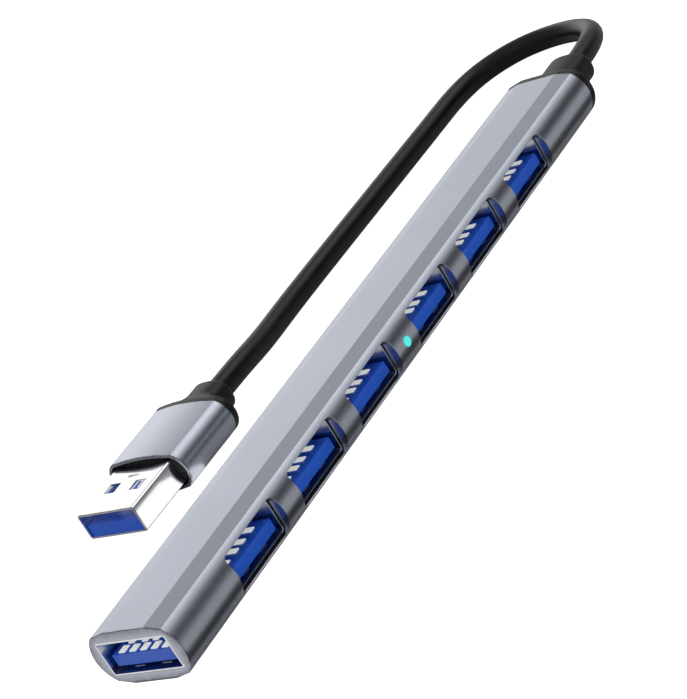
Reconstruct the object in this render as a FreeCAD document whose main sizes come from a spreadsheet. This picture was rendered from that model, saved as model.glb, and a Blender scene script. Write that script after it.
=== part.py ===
import FreeCAD, Part
import math
import os

import Sketcher

# Slim seven-port USB hub, in millimetres.  Hub pieces are drawn with y = 0 at the front face and
# z = 0 at the middle of the tube; plug pieces with y = 0 at the tip of the plug.  The placements then
# stand both on z = 0, with the middle of the hub's length at y = 0 and +X on the side of the six ports.

SIZES = {
    # extruded housing
    "tube_length": 138.0,
    "tube_width": 16.6,
    "tube_height": 8.8,
    "facet_width": 7.6,
    "shoulder_width": 13.1,
    "shoulder_height": 7.5,
    "bore_clearance": 0.02,
    "bore_corner": 0.5,
    # receptacles
    "port_width": 13.12,
    "port_height": 5.72,
    "port_wall": 0.31,
    "port_corner": 0.5,
    "port_depth": 10.3,
    "block_depth": 2.2,
    "tongue_width": 11.3,
    "tongue_thick": 1.84,
    "tongue_setback": 0.45,
    "end_tongue_setback": 0.8,
    "strip_width": 1.0,
    "strip_thick": 0.15,
    "strip_setback": 0.35,
    "side_strip_setback": 1.7,
    "inner_pitch": 2.0,
    "outer_pitch": 2.5,
    "tail_length": 1.6,
    "fast_strip_width": 1.1,
    "fast_strip_length": 1.4,
    "fast_run_width": 0.6,
    "fast_run_depth": 1.0,
    "fast_gap": 0.45,
    "spring_height": 0.4,
    # row of side ports
    "window_gap": 0.19,
    "window_clearance": 0.55,
    "window_sill": 0.28,
    "window_corner": 0.9,
    "first_port": 21.65,
    "port_pitch": 18.1,
    "lamp_gap": 19.9,
    # circuit board and what it carries
    "board_thick": 1.0,
    "board_gap": 0.2,
    "board_edge_gap": 0.15,
    "lead_gap": 1.5,
    "part_gap": 0.5,
    "rear_chip_shift": 1.4,
    "chip_size": 5.0,
    "rear_chip_size": 7.0,
    "chip_thick": 0.85,
    "crystal_length": 3.2,
    "crystal_width": 2.5,
    "crystal_thick": 0.7,
    "regulator_length": 2.9,
    "regulator_width": 1.6,
    "regulator_thick": 1.1,
    "capacitor_length": 1.6,
    "capacitor_width": 0.8,
    "capacitor_thick": 0.8,
    "lamp_length": 1.6,
    "lamp_width": 0.8,
    "lamp_thick": 0.6,
    "pipe_diameter": 1.6,
    # moulded rear cap
    "cap_rim": 1.7,
    "cap_shoulder": 3.6,
    "cap_neck": 5.7,
    "cap_lip": 2.5,
    "cap_step": 0.25,
    "neck_width": 8.8,
    "neck_height": 6.4,
    "neck_round": 1.2,
    "neck_crease_across": 0.72,
    "neck_crease_up": 0.68,
    # cable
    "cable_diameter": 4.0,
    "cable_insertion": 1.5,
    "cable_lead_out": 6.8,
    "wire_diameter": 0.6,
    "wire_spacing": 0.8,
    "wire_overlap": 3.0,
    # plug
    "plug_x": -30.1,
    "plug_tip": 34.22,
    "plug_yaw": -1.1,
    "shell_width": 12.0,
    "shell_height": 4.5,
    "shell_wall": 0.32,
    "shell_corner": 0.45,
    "shell_length": 19.5,
    "shell_exposed": 11.1,
    "latch_width": 2.3,
    "latch_length": 2.3,
    "latch_spacing": 5.4,
    "latch_setback": 4.8,
    "slot_width": 2.2,
    "slot_length": 0.5,
    "slot_setback": 8.5,
    "insert_setback": 0.35,
    "insert_thick": 1.93,
    "insert_block": 10.6,
    "pad_length": 4.2,
    "pad_setback": 3.5,
    "chamber_length": 3.0,
    "sleeve_length": 13.5,
    "sleeve_width": 16.2,
    "sleeve_height": 7.1,
    "sleeve_crease_width": 12.7,
    "sleeve_crease_height": 6.0,
    "sleeve_wall": 0.45,
    "core_recess": 0.9,
    "core_clearance": 0.02,
    "plug_rim": 1.4,
    "plug_shoulder": 2.6,
    "plug_neck": 3.2,
    "plug_neck_width": 7.2,
    "plug_neck_height": 5.6,
    "plug_neck_round": 1.0,
}

SIDE_PORTS = 6
PORTS_BEFORE_LAMP = 3
FAST_CONTACTS = (-2, -1, 0, 1, 2)
CONTACT_SIDES = (-1, 1)
WIRES = (-1.5, -0.5, 0.5, 1.5)
LEAST_CUT = 1e-6
SAME_PLACE = 1e-4

doc = FreeCAD.newDocument("usb_hub")
sheet = doc.addObject("Spreadsheet::Sheet", "Sizes")
for row, (alias, size) in enumerate(SIZES.items(), start=1):
    sheet.set(f"A{row}", alias)
    sheet.set(f"B{row}", str(size))
    sheet.setAlias(f"B{row}", alias)
doc.recompute()

PLANES = {"XZ": ("XZ_Plane", -1), "YZ": ("YZ_Plane", 1), "XY": ("XY_Plane", 1)}
REAR_END = "(Sizes.tube_length + Sizes.cap_rim + Sizes.cap_shoulder + Sizes.cap_neck)"
PLUG_END = (
    "(Sizes.shell_exposed + Sizes.sleeve_length + Sizes.plug_rim + Sizes.plug_shoulder + Sizes.plug_neck)"
)
HUB_PLACE = {"y": f"-{REAR_END} / 2", "z": "Sizes.tube_height / 2"}
PLUG_PLACE = {
    "x": "Sizes.plug_x",
    "y": f"Sizes.plug_tip - {REAR_END} / 2",
    "z": "Sizes.sleeve_height / 2",
}
nodes = {}


def value(expression):
    """Number that an expression on the sheet comes to."""
    result = sheet.evalExpression(str(expression))
    return float(getattr(result, "Value", result))


def place(piece, label, where=HUB_PLACE):
    """Give a finished sub-part its label and its place on the surface."""
    if where is PLUG_PLACE:
        piece.Placement = FreeCAD.Placement(
            FreeCAD.Vector(), FreeCAD.Rotation(FreeCAD.Vector(0, 0, 1), value("Sizes.plug_yaw"))
        )
        piece.setExpression("Placement.Rotation.Angle", "Sizes.plug_yaw")
    for axis, expression in where.items():
        piece.setExpression(f"Placement.Base.{axis}", expression)
    piece.Label = label
    nodes[label] = piece
    return piece


def new_body(label, where=HUB_PLACE):
    """PartDesign body of one sub-part."""
    return place(doc.addObject("PartDesign::Body", label), label, where)


def bind_point(sketch, geometry, end, point):
    """Tie one end of a line or arc to two expressions, measured from the sketch's origin."""
    for kind, expression in zip(("DistanceX", "DistanceY"), point):
        index = sketch.addConstraint(
            Sketcher.Constraint(kind, -1, 1, geometry, end, value(expression))
        )
        name = f"{kind}_{geometry}_{end}"
        sketch.renameConstraint(index, name)
        sketch.setExpression(f"Constraints.{name}", str(expression))


def outline(sketch, corners):
    """Closed outline through corners (across, up, radius): a radius makes the next edge an arc.

    A single corner is the centre of a circle of that radius.
    """
    count = len(corners)
    if count == 1:
        add_circle(sketch, *corners[0])
        return
    first = sketch.GeometryCount
    for index, (across, up, radius) in enumerate(corners):
        follower = corners[(index + 1) % count]
        start = FreeCAD.Vector(value(across), value(up), 0)
        finish = FreeCAD.Vector(value(follower[0]), value(follower[1]), 0)
        if radius is None:
            sketch.addGeometry(Part.LineSegment(start, finish), False)
            continue
        # the outline runs anticlockwise, so an arc's centre lies to the left of its chord
        chord = finish - start
        size = value(radius)
        offset = math.sqrt(max(size * size - chord.Length * chord.Length / 4, 0.0))
        left = FreeCAD.Vector(-chord.y, chord.x, 0).normalize()
        centre = (start + finish) * 0.5 + left * offset
        angles = [math.atan2(p.y - centre.y, p.x - centre.x) for p in (start, finish)]
        circle = Part.Circle(centre, FreeCAD.Vector(0, 0, 1), size)
        sketch.addGeometry(Part.ArcOfCircle(circle, angles[0], angles[1]), False)
    for index, (across, up, radius) in enumerate(corners):
        edge = first + index
        sketch.addConstraint(Sketcher.Constraint("Coincident", edge, 2, first + (index + 1) % count, 1))
        bind_point(sketch, edge, 1, (across, up))
        if radius is not None:
            bind_radius(sketch, edge, radius)


def add_circle(sketch, across, up, radius):
    """Circle whose centre and radius follow expressions."""
    centre = FreeCAD.Vector(value(across), value(up), 0)
    edge = sketch.addGeometry(Part.Circle(centre, FreeCAD.Vector(0, 0, 1), value(radius)), False)
    bind_point(sketch, edge, 3, (across, up))
    bind_radius(sketch, edge, radius)


def bind_radius(sketch, edge, radius):
    """Tie the radius of an arc or circle to an expression."""
    index = sketch.addConstraint(Sketcher.Constraint("Radius", edge, value(radius)))
    sketch.renameConstraint(index, f"radius_{edge}")
    sketch.setExpression(f"Constraints.radius_{edge}", str(radius))


def new_sketch(body, name, plane, start, outlines):
    """Sketch of closed outlines on one of the body's own planes, moved along its normal."""
    role, direction = PLANES[plane]
    sketch = body.newObject("Sketcher::SketchObject", name)
    origin_plane = next(item for item in body.Origin.OriginFeatures if item.Role == role)
    sketch.AttachmentSupport = [(origin_plane, "")]
    sketch.MapMode = "FlatFace"
    sign = "-" if direction < 0 else ""
    sketch.setExpression("AttachmentOffset.Base.z", f"{sign}({start})")
    for corners in outlines:
        outline(sketch, corners)
    return sketch


def pad(body, name, plane, start, length, outlines):
    """Add material along +X, +Y or +Z from start."""
    sketch = new_sketch(body, f"{name}_sketch", plane, start, outlines)
    feature = body.newObject("PartDesign::Pad", name)
    feature.Profile = sketch
    feature.Reversed = PLANES[plane][1] < 0
    feature.setExpression("Length", length)
    doc.recompute()
    return feature


def pocket(body, name, plane, start, length, outlines):
    """Cut along +X, +Y or +Z from start, and check that the cut met the solid."""
    before = body.Shape.Volume
    sketch = new_sketch(body, f"{name}_sketch", plane, start, outlines)
    feature = body.newObject("PartDesign::Pocket", name)
    feature.Profile = sketch
    feature.Reversed = PLANES[plane][1] > 0
    feature.setExpression("Length", length)
    doc.recompute()
    if not body.Shape.Volume < before - LEAST_CUT:
        raise RuntimeError(f"{body.Label}: {name} cut nothing")
    return feature


def loft(body, name, sketches):
    """Add material between sketches that lie one behind the other."""
    feature = body.newObject("PartDesign::AdditiveLoft", name)
    feature.Profile = sketches[0]
    feature.Sections = sketches[1:]
    feature.Ruled = False
    doc.recompute()
    return feature


def box_outline(width, height, across="0", up="0", corner=None):
    """Rectangle about a centre, with rounded corners where a corner radius is given."""
    half_w = f"({width}) / 2"
    half_h = f"({height}) / 2"
    signs = ((-1, -1), (1, -1), (1, 1), (-1, 1))
    if corner is None:
        return [(f"{across} + {sx} * {half_w}", f"{up} + {sz} * {half_h}", None) for sx, sz in signs]
    corners = []
    for sx, sz in signs:
        on_side = (f"{across} + {sx} * {half_w}", f"{up} + {sz} * ({half_h} - {corner})", None)
        on_end = (f"{across} + {sx} * ({half_w} - {corner})", f"{up} + {sz} * {half_h}", None)
        first, second = (on_side, on_end) if sx * sz > 0 else (on_end, on_side)
        corners.append((first[0], first[1], corner))
        corners.append(second)
    return corners


def bulge_radius(rise, chord):
    """Radius of an arc that rises so far above a chord of that length."""
    return f"(({chord})^2 / 4 + ({rise})^2) / (2 * ({rise}))"


def housing_outline():
    """Housing section: flat facets above and below, a narrow facet beside each, and round sides."""
    facet = "Sizes.facet_width / 2"
    shoulder = "Sizes.shoulder_width / 2"
    high = "Sizes.tube_height / 2"
    low = "Sizes.shoulder_height / 2"
    side = bulge_radius("(Sizes.tube_width - Sizes.shoulder_width) / 2", "Sizes.shoulder_height")
    return [
        (f"-({facet})", f"-({high})", None),
        (facet, f"-({high})", None),
        (shoulder, f"-({low})", side),
        (shoulder, low, None),
        (facet, high, None),
        (f"-({facet})", high, None),
        (f"-({shoulder})", low, side),
        (f"-({shoulder})", f"-({low})", None),
    ]


def lens_outline(width, height, crease_width, crease_height):
    """Section of four arcs that meet in four creases."""
    crown = bulge_radius(f"(({height}) - ({crease_height})) / 2", crease_width)
    side = bulge_radius(f"(({width}) - ({crease_width})) / 2", crease_height)
    half_w = f"({crease_width}) / 2"
    half_h = f"({crease_height}) / 2"
    return [
        (f"-{half_w}", f"-{half_h}", crown),
        (half_w, f"-{half_h}", side),
        (half_w, half_h, crown),
        (f"-{half_w}", half_h, side),
    ]


def shrunk_lens(width, height, crease_width, crease_height, margin):
    """The lens section with all four sides moved inwards."""
    sizes = (width, height, crease_width, crease_height)
    return lens_outline(*(f"(({size}) - 2 * ({margin}))" for size in sizes))


def round_section(width, height):
    """Nearly elliptical section of a moulded neck."""
    creases = (f"Sizes.neck_crease_across * ({width})", f"Sizes.neck_crease_up * ({height})")
    return lens_outline(width, height, *creases)


def round_end(body, end, radius):
    """Fillet the outer edges of the face that closes a neck at y = end."""
    base = body.Tip
    level = value(end)
    edges = [
        f"Edge{number}"
        for number, edge in enumerate(base.Shape.Edges, start=1)
        if all(abs(vertex.Y - level) < SAME_PLACE for vertex in edge.Vertexes)
    ]
    fillet = body.newObject("PartDesign::Fillet", "neck_round")
    fillet.Base = (base, edges)
    fillet.setExpression("Radius", radius)
    doc.recompute()


def box(name, sizes, corner):
    """Part::Box whose three sizes and lowest corner follow expressions."""
    item = doc.addObject("Part::Box", name)
    for side, expression in zip(("Length", "Width", "Height"), sizes):
        item.setExpression(side, str(expression))
    for axis, expression in zip("xyz", corner):
        item.setExpression(f"Placement.Base.{axis}", str(expression))
    return item


def rod(name, diameter, length, start):
    """Part::Cylinder that lies along +Y from start."""
    item = doc.addObject("Part::Cylinder", name)
    item.Placement.Rotation = FreeCAD.Rotation(FreeCAD.Vector(1, 0, 0), -90)
    item.setExpression("Radius", f"({diameter}) / 2")
    item.setExpression("Height", str(length))
    for axis, expression in zip("xyz", start):
        item.setExpression(f"Placement.Base.{axis}", str(expression))
    return item


def group(label, items, where=HUB_PLACE):
    """Separate solids that make one node."""
    compound = doc.addObject("Part::Compound", label)
    compound.Links = items
    return place(compound, label, where)


def fused(name, items):
    """One solid made of several boxes that touch."""
    fusion = doc.addObject("Part::MultiFuse", name)
    fusion.Shapes = items
    fusion.Refine = True
    return fusion


# ---------------------------------------------------------------- places that several pieces share
BORE_WIDTH = "(Sizes.port_width + 2 * Sizes.bore_clearance)"
MOUTH = f"({BORE_WIDTH} / 2 - Sizes.bore_clearance)"
BLOCK_BACK = f"({MOUTH} - Sizes.port_depth)"
BORE_HEIGHT = "(Sizes.port_height + 2 * Sizes.bore_clearance)"
INNER_WIDTH = "(Sizes.port_width - 2 * Sizes.port_wall)"
INNER_HEIGHT = "(Sizes.port_height - 2 * Sizes.port_wall)"
INNER_CORNER = "(Sizes.port_corner - Sizes.port_wall)"
# The windows are as high as a plug's shell above the middle, and reach below the ports' shells.
WINDOW_WIDTH = "(Sizes.port_width + 2 * Sizes.window_gap)"
WINDOW_TOP = "(Sizes.shell_height / 2 + Sizes.window_clearance)"
WINDOW_BOTTOM = f"({BORE_HEIGHT} / 2 + Sizes.window_sill)"
INNER_OFFSET = "Sizes.inner_pitch / 2"
OUTER_OFFSET = "(Sizes.inner_pitch / 2 + Sizes.outer_pitch)"
CONTACTS = [f"{side} * {offset}" for side in CONTACT_SIDES for offset in (INNER_OFFSET, OUTER_OFFSET)]
FAST_OFFSETS = [f"{step} * Sizes.inner_pitch" for step in FAST_CONTACTS]
LAMP_PLACE = f"(Sizes.first_port + {PORTS_BEFORE_LAMP - 1} * Sizes.port_pitch + Sizes.lamp_gap / 2)"
CABLE_SECTION = [("0", "0", "Sizes.cable_diameter / 2")]


def port_centre(index):
    """Place along the tube of one side port, counted from 0 at the front."""
    if index < PORTS_BEFORE_LAMP:
        return f"(Sizes.first_port + {index} * Sizes.port_pitch)"
    return f"(Sizes.first_port + {index - 1} * Sizes.port_pitch + Sizes.lamp_gap)"


# ------------------------------------------------------------------------------------- the housing
def build_housing():
    """Extruded tube with the bore for the ports, the six side windows and the lamp hole."""
    body = new_body("housing_tube")
    pad(body, "extrusion", "XZ", "0", "Sizes.tube_length", [housing_outline()])
    bore = box_outline(BORE_WIDTH, BORE_HEIGHT, corner="Sizes.bore_corner")
    pocket(body, "bore", "XZ", "0", "Sizes.tube_length", [bore])
    for index in range(SIDE_PORTS):
        window = box_outline(
            WINDOW_WIDTH,
            f"({WINDOW_TOP} + {WINDOW_BOTTOM})",
            port_centre(index),
            f"({WINDOW_TOP} - {WINDOW_BOTTOM}) / 2",
            "Sizes.window_corner",
        )
        seat = box_outline(WINDOW_WIDTH, BORE_HEIGHT, port_centre(index))
        pocket(body, f"seat_{index + 1}", "YZ", "0", f"{BORE_WIDTH} / 2", [seat])
        wall = f"Sizes.tube_width / 2 - {BORE_WIDTH} / 2"
        pocket(body, f"window_{index + 1}", "YZ", f"{BORE_WIDTH} / 2", wall, [window])
    lamp_hole = [(LAMP_PLACE, "0", "Sizes.pipe_diameter / 2")]
    pocket(body, "lamp_hole", "YZ", "0", "Sizes.tube_width / 2", [lamp_hole])


# ------------------------------------------------------------------------------------ the side ports
def build_side_port(index):
    """Receptacle that faces +X: steel shell, blue insulator with its tongue, and four contacts."""
    name = f"side_port_{index + 1}"
    centre = port_centre(index)
    shell = new_body(f"{name}_shell")
    outside = box_outline("Sizes.port_width", "Sizes.port_height", centre, corner="Sizes.port_corner")
    inside = box_outline(INNER_WIDTH, INNER_HEIGHT, centre, corner=INNER_CORNER)
    pad(shell, "drawn_shell", "YZ", BLOCK_BACK, "Sizes.port_depth", [outside])
    pocket(shell, "opening", "YZ", BLOCK_BACK, "Sizes.port_depth", [inside])

    insulator = new_body(f"{name}_insulator")
    pad(insulator, "block", "YZ", BLOCK_BACK, "Sizes.block_depth", [inside])
    tongue = box_outline("Sizes.tongue_width", "Sizes.tongue_thick", centre, "-Sizes.tongue_thick / 2")
    reach = "Sizes.port_depth - Sizes.tongue_setback"
    pad(insulator, "tongue", "YZ", BLOCK_BACK, reach, [tongue])
    thick = "Sizes.strip_thick"
    slots = [
        box_outline("Sizes.strip_width", thick, f"{centre} + {offset}", f"{thick} / 2")
        for offset in CONTACTS
    ]
    pocket(insulator, "contact_slots", "YZ", BLOCK_BACK, "Sizes.block_depth", slots)

    length = (
        "Sizes.port_depth - Sizes.tongue_setback - Sizes.side_strip_setback + Sizes.tail_length"
    )
    strips = [
        box(
            f"{name}_strip_{number}",
            (length, "Sizes.strip_width", thick),
            (f"{BLOCK_BACK} - Sizes.tail_length", f"{centre} + {offset} - Sizes.strip_width / 2", 0),
        )
        for number, offset in enumerate(CONTACTS)
    ]
    group(f"{name}_contacts", strips)


# ------------------------------------------------------------------------- contacts in two rows
def two_rows(insulator, name, size, front, rear):
    """Front row of pads whose leads run inside the tongue, and a rear row on top of it.

    size holds the block's start, the insulator's end and the tip of the pads; front and rear
    hold each row's offsets, width, pad length or gap, and height.
    """
    end = size["end"]
    leg_back = f"({size['tip']} + {front['length']})"
    leg_front = f"({leg_back} - Sizes.strip_thick)"
    run_width = "Sizes.fast_run_width"
    depth = "Sizes.fast_run_depth"
    thick = "Sizes.strip_thick"
    rear_width = rear["width"]
    rear_height = rear["height"]
    slots = [
        box_outline(rear_width, rear_height, offset, f"{rear_height} / 2") for offset in rear["at"]
    ]
    pocket(insulator, "rear_slots", "XZ", size["block"], f"{end} - {size['block']}", slots)
    runs = [box_outline(run_width, thick, offset, f"{thick} / 2 - {depth}") for offset in front["at"]]
    pocket(insulator, "lead_runs", "XZ", leg_front, f"{end} - {leg_front}", runs)
    legs = [box_outline(run_width, thick, offset, f"{leg_back} - {thick} / 2") for offset in front["at"]]
    pocket(insulator, "lead_legs", "XY", f"-{depth}", depth, legs)

    tail_end = f"({end} + Sizes.tail_length)"
    rear_start = f"({leg_back} + {rear['gap']})"
    rear_strips = [
        box(
            f"{name}_rear_{number}",
            (rear_width, f"{tail_end} - {rear_start}", rear_height),
            (f"{offset} - {rear_width} / 2", rear_start, 0),
        )
        for number, offset in enumerate(rear["at"])
    ]
    front_strips = []
    for number, offset in enumerate(front["at"]):
        lead = f"{offset} - {run_width} / 2"
        pieces = [
            box(
                f"{name}_pad_{number}",
                (front["width"], front["length"], thick),
                (f"{offset} - {front['width']} / 2", size["tip"], 0),
            ),
            box(f"{name}_leg_{number}", (run_width, thick, depth), (lead, leg_front, f"-{depth}")),
            box(
                f"{name}_run_{number}",
                (run_width, f"{end} - {leg_front}", thick),
                (lead, leg_front, f"-{depth}"),
            ),
        ]
        front_strips.append(fused(f"{name}_front_{number}", pieces))
    return front_strips, rear_strips


# -------------------------------------------------------------------------------------- the end port
def build_end_port():
    """Receptacle in the front face: shell, insulator, four contacts and five fast contacts."""
    shell = new_body("end_port_shell")
    outside = box_outline("Sizes.port_width", "Sizes.port_height", corner="Sizes.port_corner")
    inside = box_outline(INNER_WIDTH, INNER_HEIGHT, corner=INNER_CORNER)
    pad(shell, "drawn_shell", "XZ", "0", "Sizes.port_depth", [outside])
    pocket(shell, "opening", "XZ", "0", "Sizes.port_depth", [inside])

    block_start = "(Sizes.port_depth - Sizes.block_depth)"
    tip = "Sizes.end_tongue_setback"
    insulator = new_body("end_port_insulator")
    pad(insulator, "block", "XZ", block_start, "Sizes.block_depth", [inside])
    tongue = box_outline("Sizes.tongue_width", "Sizes.tongue_thick", "0", "-Sizes.tongue_thick / 2")
    pad(insulator, "tongue", "XZ", tip, f"Sizes.port_depth - {tip}", [tongue])
    fast, slow = two_rows(
        insulator,
        "end_port",
        {"block": block_start, "end": "Sizes.port_depth", "tip": f"({tip} + Sizes.strip_setback)"},
        {"at": FAST_OFFSETS, "width": "Sizes.fast_strip_width", "length": "Sizes.fast_strip_length"},
        {
            "at": CONTACTS,
            "width": "Sizes.strip_width",
            "gap": "Sizes.fast_gap",
            "height": "Sizes.strip_thick",
        },
    )
    group("end_port_contacts", slow)
    group("end_port_fast_contacts", fast)


# ----------------------------------------------------------------------------------- the circuit board
BOARD_LEFT = f"(-{BORE_WIDTH} / 2 + Sizes.board_edge_gap)"
BOARD_RIGHT = f"({BORE_WIDTH} / 2 - Sizes.board_edge_gap)"
BOARD_FRONT = "(Sizes.port_depth + Sizes.board_gap)"
CABLE_START = "(Sizes.tube_length - Sizes.cap_lip - Sizes.cable_insertion)"
BOARD_BACK = f"({CABLE_START} - Sizes.lead_gap)"
HALF_PORT = "(Sizes.port_width / 2 + Sizes.board_gap)"
REAR_AREA = f"({port_centre(SIDE_PORTS - 1)} + {HALF_PORT})"
REAR_COLUMN = "(Sizes.rear_chip_size / 2 - Sizes.rear_chip_shift + Sizes.part_gap)"


def build_board():
    """Comb-shaped board: a spine behind the side ports, and tongues between them."""
    low = "-Sizes.board_thick"
    spine_width = f"{BLOCK_BACK} - Sizes.board_gap - {BOARD_LEFT}"
    pieces = [
        box(
            "board_spine",
            (spine_width, f"{BOARD_BACK} - {BOARD_FRONT}", "Sizes.board_thick"),
            (BOARD_LEFT, BOARD_FRONT, low),
        )
    ]
    ports = [port_centre(index) for index in range(SIDE_PORTS)]
    starts = [BOARD_FRONT] + [f"({centre} + {HALF_PORT})" for centre in ports]
    ends = [f"({centre} - {HALF_PORT})" for centre in ports] + [BOARD_BACK]
    for number, (start, end) in enumerate(zip(starts, ends)):
        pieces.append(
            box(
                f"board_tongue_{number}",
                (f"{BOARD_RIGHT} - {BOARD_LEFT}", f"{end} - {start}", "Sizes.board_thick"),
                (BOARD_LEFT, start, low),
            )
        )
    place(fused("circuit_board", pieces), "circuit_board")


def build_electronics():
    """Chips, crystal, regulator, capacitors and the status lamp, all soldered on the board."""
    chip = ("Sizes.chip_size", "Sizes.chip_size", "Sizes.chip_thick")
    chip_corner = ("-Sizes.chip_size / 2", f"{LAMP_PLACE} - Sizes.chip_size / 2", 0)
    group("hub_controller_front", [box("front_chip", chip, chip_corner)])

    rear_chip = ("Sizes.rear_chip_size", "Sizes.rear_chip_size", "Sizes.chip_thick")
    rear_corner = (
        "-Sizes.rear_chip_size / 2 - Sizes.rear_chip_shift",
        f"{REAR_AREA} + Sizes.part_gap",
        0,
    )
    group("hub_controller_rear", [box("rear_chip", rear_chip, rear_corner)])

    crystal = ("Sizes.crystal_width", "Sizes.crystal_length", "Sizes.crystal_thick")
    crystal_corner = (REAR_COLUMN, f"{REAR_AREA} + Sizes.part_gap", 0)
    group("crystal", [box("crystal_can", crystal, crystal_corner)])

    regulator = ("Sizes.regulator_width", "Sizes.regulator_length", "Sizes.regulator_thick")
    regulator_corner = (REAR_COLUMN, f"{REAR_AREA} + 2 * Sizes.part_gap + Sizes.crystal_length", 0)
    group("voltage_regulator", [box("regulator_case", regulator, regulator_corner)])

    capacitor = ("Sizes.capacitor_width", "Sizes.capacitor_length", "Sizes.capacitor_thick")
    row_of_capacitors = [
        box(
            f"capacitor_{index}",
            capacitor,
            (
                f"{BOARD_LEFT} + Sizes.board_edge_gap",
                f"{port_centre(index)} - Sizes.capacitor_length / 2",
                0,
            ),
        )
        for index in range(SIDE_PORTS)
    ]
    group("capacitors", row_of_capacitors)

    lamp = ("Sizes.lamp_width", "Sizes.lamp_length", "Sizes.lamp_thick")
    lamp_corner = (f"{BOARD_RIGHT} - Sizes.lamp_width", f"{LAMP_PLACE} - Sizes.lamp_length / 2", 0)
    group("status_lamp", [box("lamp_case", lamp, lamp_corner)])

    pipe = new_body("lamp_light_pipe")
    section = [(LAMP_PLACE, "0", "Sizes.pipe_diameter / 2")]
    pad(pipe, "rod", "YZ", BOARD_RIGHT, f"Sizes.tube_width / 2 - {BOARD_RIGHT}", [section])


# ------------------------------------------------------------------------- cap, cable ends and wires
def moulded_neck(body, start, sizes):
    """Shoulder that narrows from a rim to a rounded neck along +Y."""
    neck_start = f"({start} + {sizes['shoulder']})"
    neck_section = round_section(sizes["width"], sizes["height"])
    sections = [
        new_sketch(body, "shoulder_base", "XZ", start, [sizes["base"]]),
        new_sketch(body, "shoulder_top", "XZ", neck_start, [neck_section]),
    ]
    doc.recompute()
    loft(body, "shoulder", sections)
    pad(body, "neck", "XZ", neck_start, sizes["length"], [neck_section])
    round_end(body, f"{neck_start} + {sizes['length']}", sizes["round"])


def build_cap():
    """Black moulding that closes the rear end: lip in the bore, rim, shoulder and cable neck."""
    body = new_body("rear_end_cap")
    rim_end = "(Sizes.tube_length + Sizes.cap_rim)"
    lip_start = "(Sizes.tube_length - Sizes.cap_lip)"
    lip = box_outline("Sizes.port_width", "Sizes.port_height", corner="Sizes.port_corner")
    pad(body, "rim", "XZ", "Sizes.tube_length", "Sizes.cap_rim", [housing_outline()])
    pad(body, "lip", "XZ", lip_start, "Sizes.cap_lip", [lip])
    neck_sizes = {
        "base": shrunk_lens(
            "Sizes.tube_width",
            "Sizes.tube_height",
            "Sizes.shoulder_width",
            "Sizes.shoulder_height",
            "Sizes.cap_step",
        ),
        "shoulder": "Sizes.cap_shoulder",
        "width": "Sizes.neck_width",
        "height": "Sizes.neck_height",
        "length": "Sizes.cap_neck",
        "round": "Sizes.neck_round",
    }
    moulded_neck(body, rim_end, neck_sizes)
    pocket(body, "cable_hole", "XZ", lip_start, f"{REAR_END} - {lip_start}", [CABLE_SECTION])

    stub = new_body("cable_end_in_hub")
    pad(stub, "jacket", "XZ", CABLE_START, f"{REAR_END} - {CABLE_START}", [CABLE_SECTION])

    wire_start = f"({BOARD_BACK} - Sizes.wire_overlap)"
    wires = [
        rod(
            f"hub_wire_{number}",
            "Sizes.wire_diameter",
            f"{CABLE_START} - {wire_start}",
            (f"{step} * Sizes.wire_spacing", wire_start, "Sizes.wire_diameter / 2"),
        )
        for number, step in enumerate(WIRES)
    ]
    group("cable_wires_in_hub", wires)


# ----------------------------------------------------------------------------------------- the plug
SHELL_INNER_WIDTH = "(Sizes.shell_width - 2 * Sizes.shell_wall)"
SHELL_INNER_HEIGHT = "(Sizes.shell_height - 2 * Sizes.shell_wall)"
SLEEVE_END = "(Sizes.shell_exposed + Sizes.sleeve_length)"
CORE_START = "(Sizes.shell_exposed + Sizes.core_recess)"
CHAMBER_END = "(Sizes.shell_length + Sizes.chamber_length)"
SLEEVE_SIZES = (
    "Sizes.sleeve_width",
    "Sizes.sleeve_height",
    "Sizes.sleeve_crease_width",
    "Sizes.sleeve_crease_height",
)


def build_plug_shell():
    """Bright steel shell with its two latch windows in both faces and a slot in the top."""
    shell = new_body("plug_shell", PLUG_PLACE)
    outside = box_outline("Sizes.shell_width", "Sizes.shell_height", corner="Sizes.shell_corner")
    corner = "(Sizes.shell_corner - Sizes.shell_wall)"
    inside = box_outline(SHELL_INNER_WIDTH, SHELL_INNER_HEIGHT, corner=corner)
    pad(shell, "drawn_shell", "XZ", "0", "Sizes.shell_length", [outside])
    pocket(shell, "opening", "XZ", "0", "Sizes.shell_length", [inside])
    windows = [
        box_outline(
            "Sizes.latch_width",
            "Sizes.latch_length",
            f"{side} * Sizes.latch_spacing / 2",
            "Sizes.latch_setback + Sizes.latch_length / 2",
        )
        for side in CONTACT_SIDES
    ]
    pocket(shell, "latch_windows", "XY", "-Sizes.shell_height / 2", "Sizes.shell_height", windows)
    slot = box_outline("Sizes.slot_width", "Sizes.slot_length", "0", "Sizes.slot_setback")
    pocket(shell, "seam_slot", "XY", "0", "Sizes.shell_height / 2", [slot])


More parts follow.
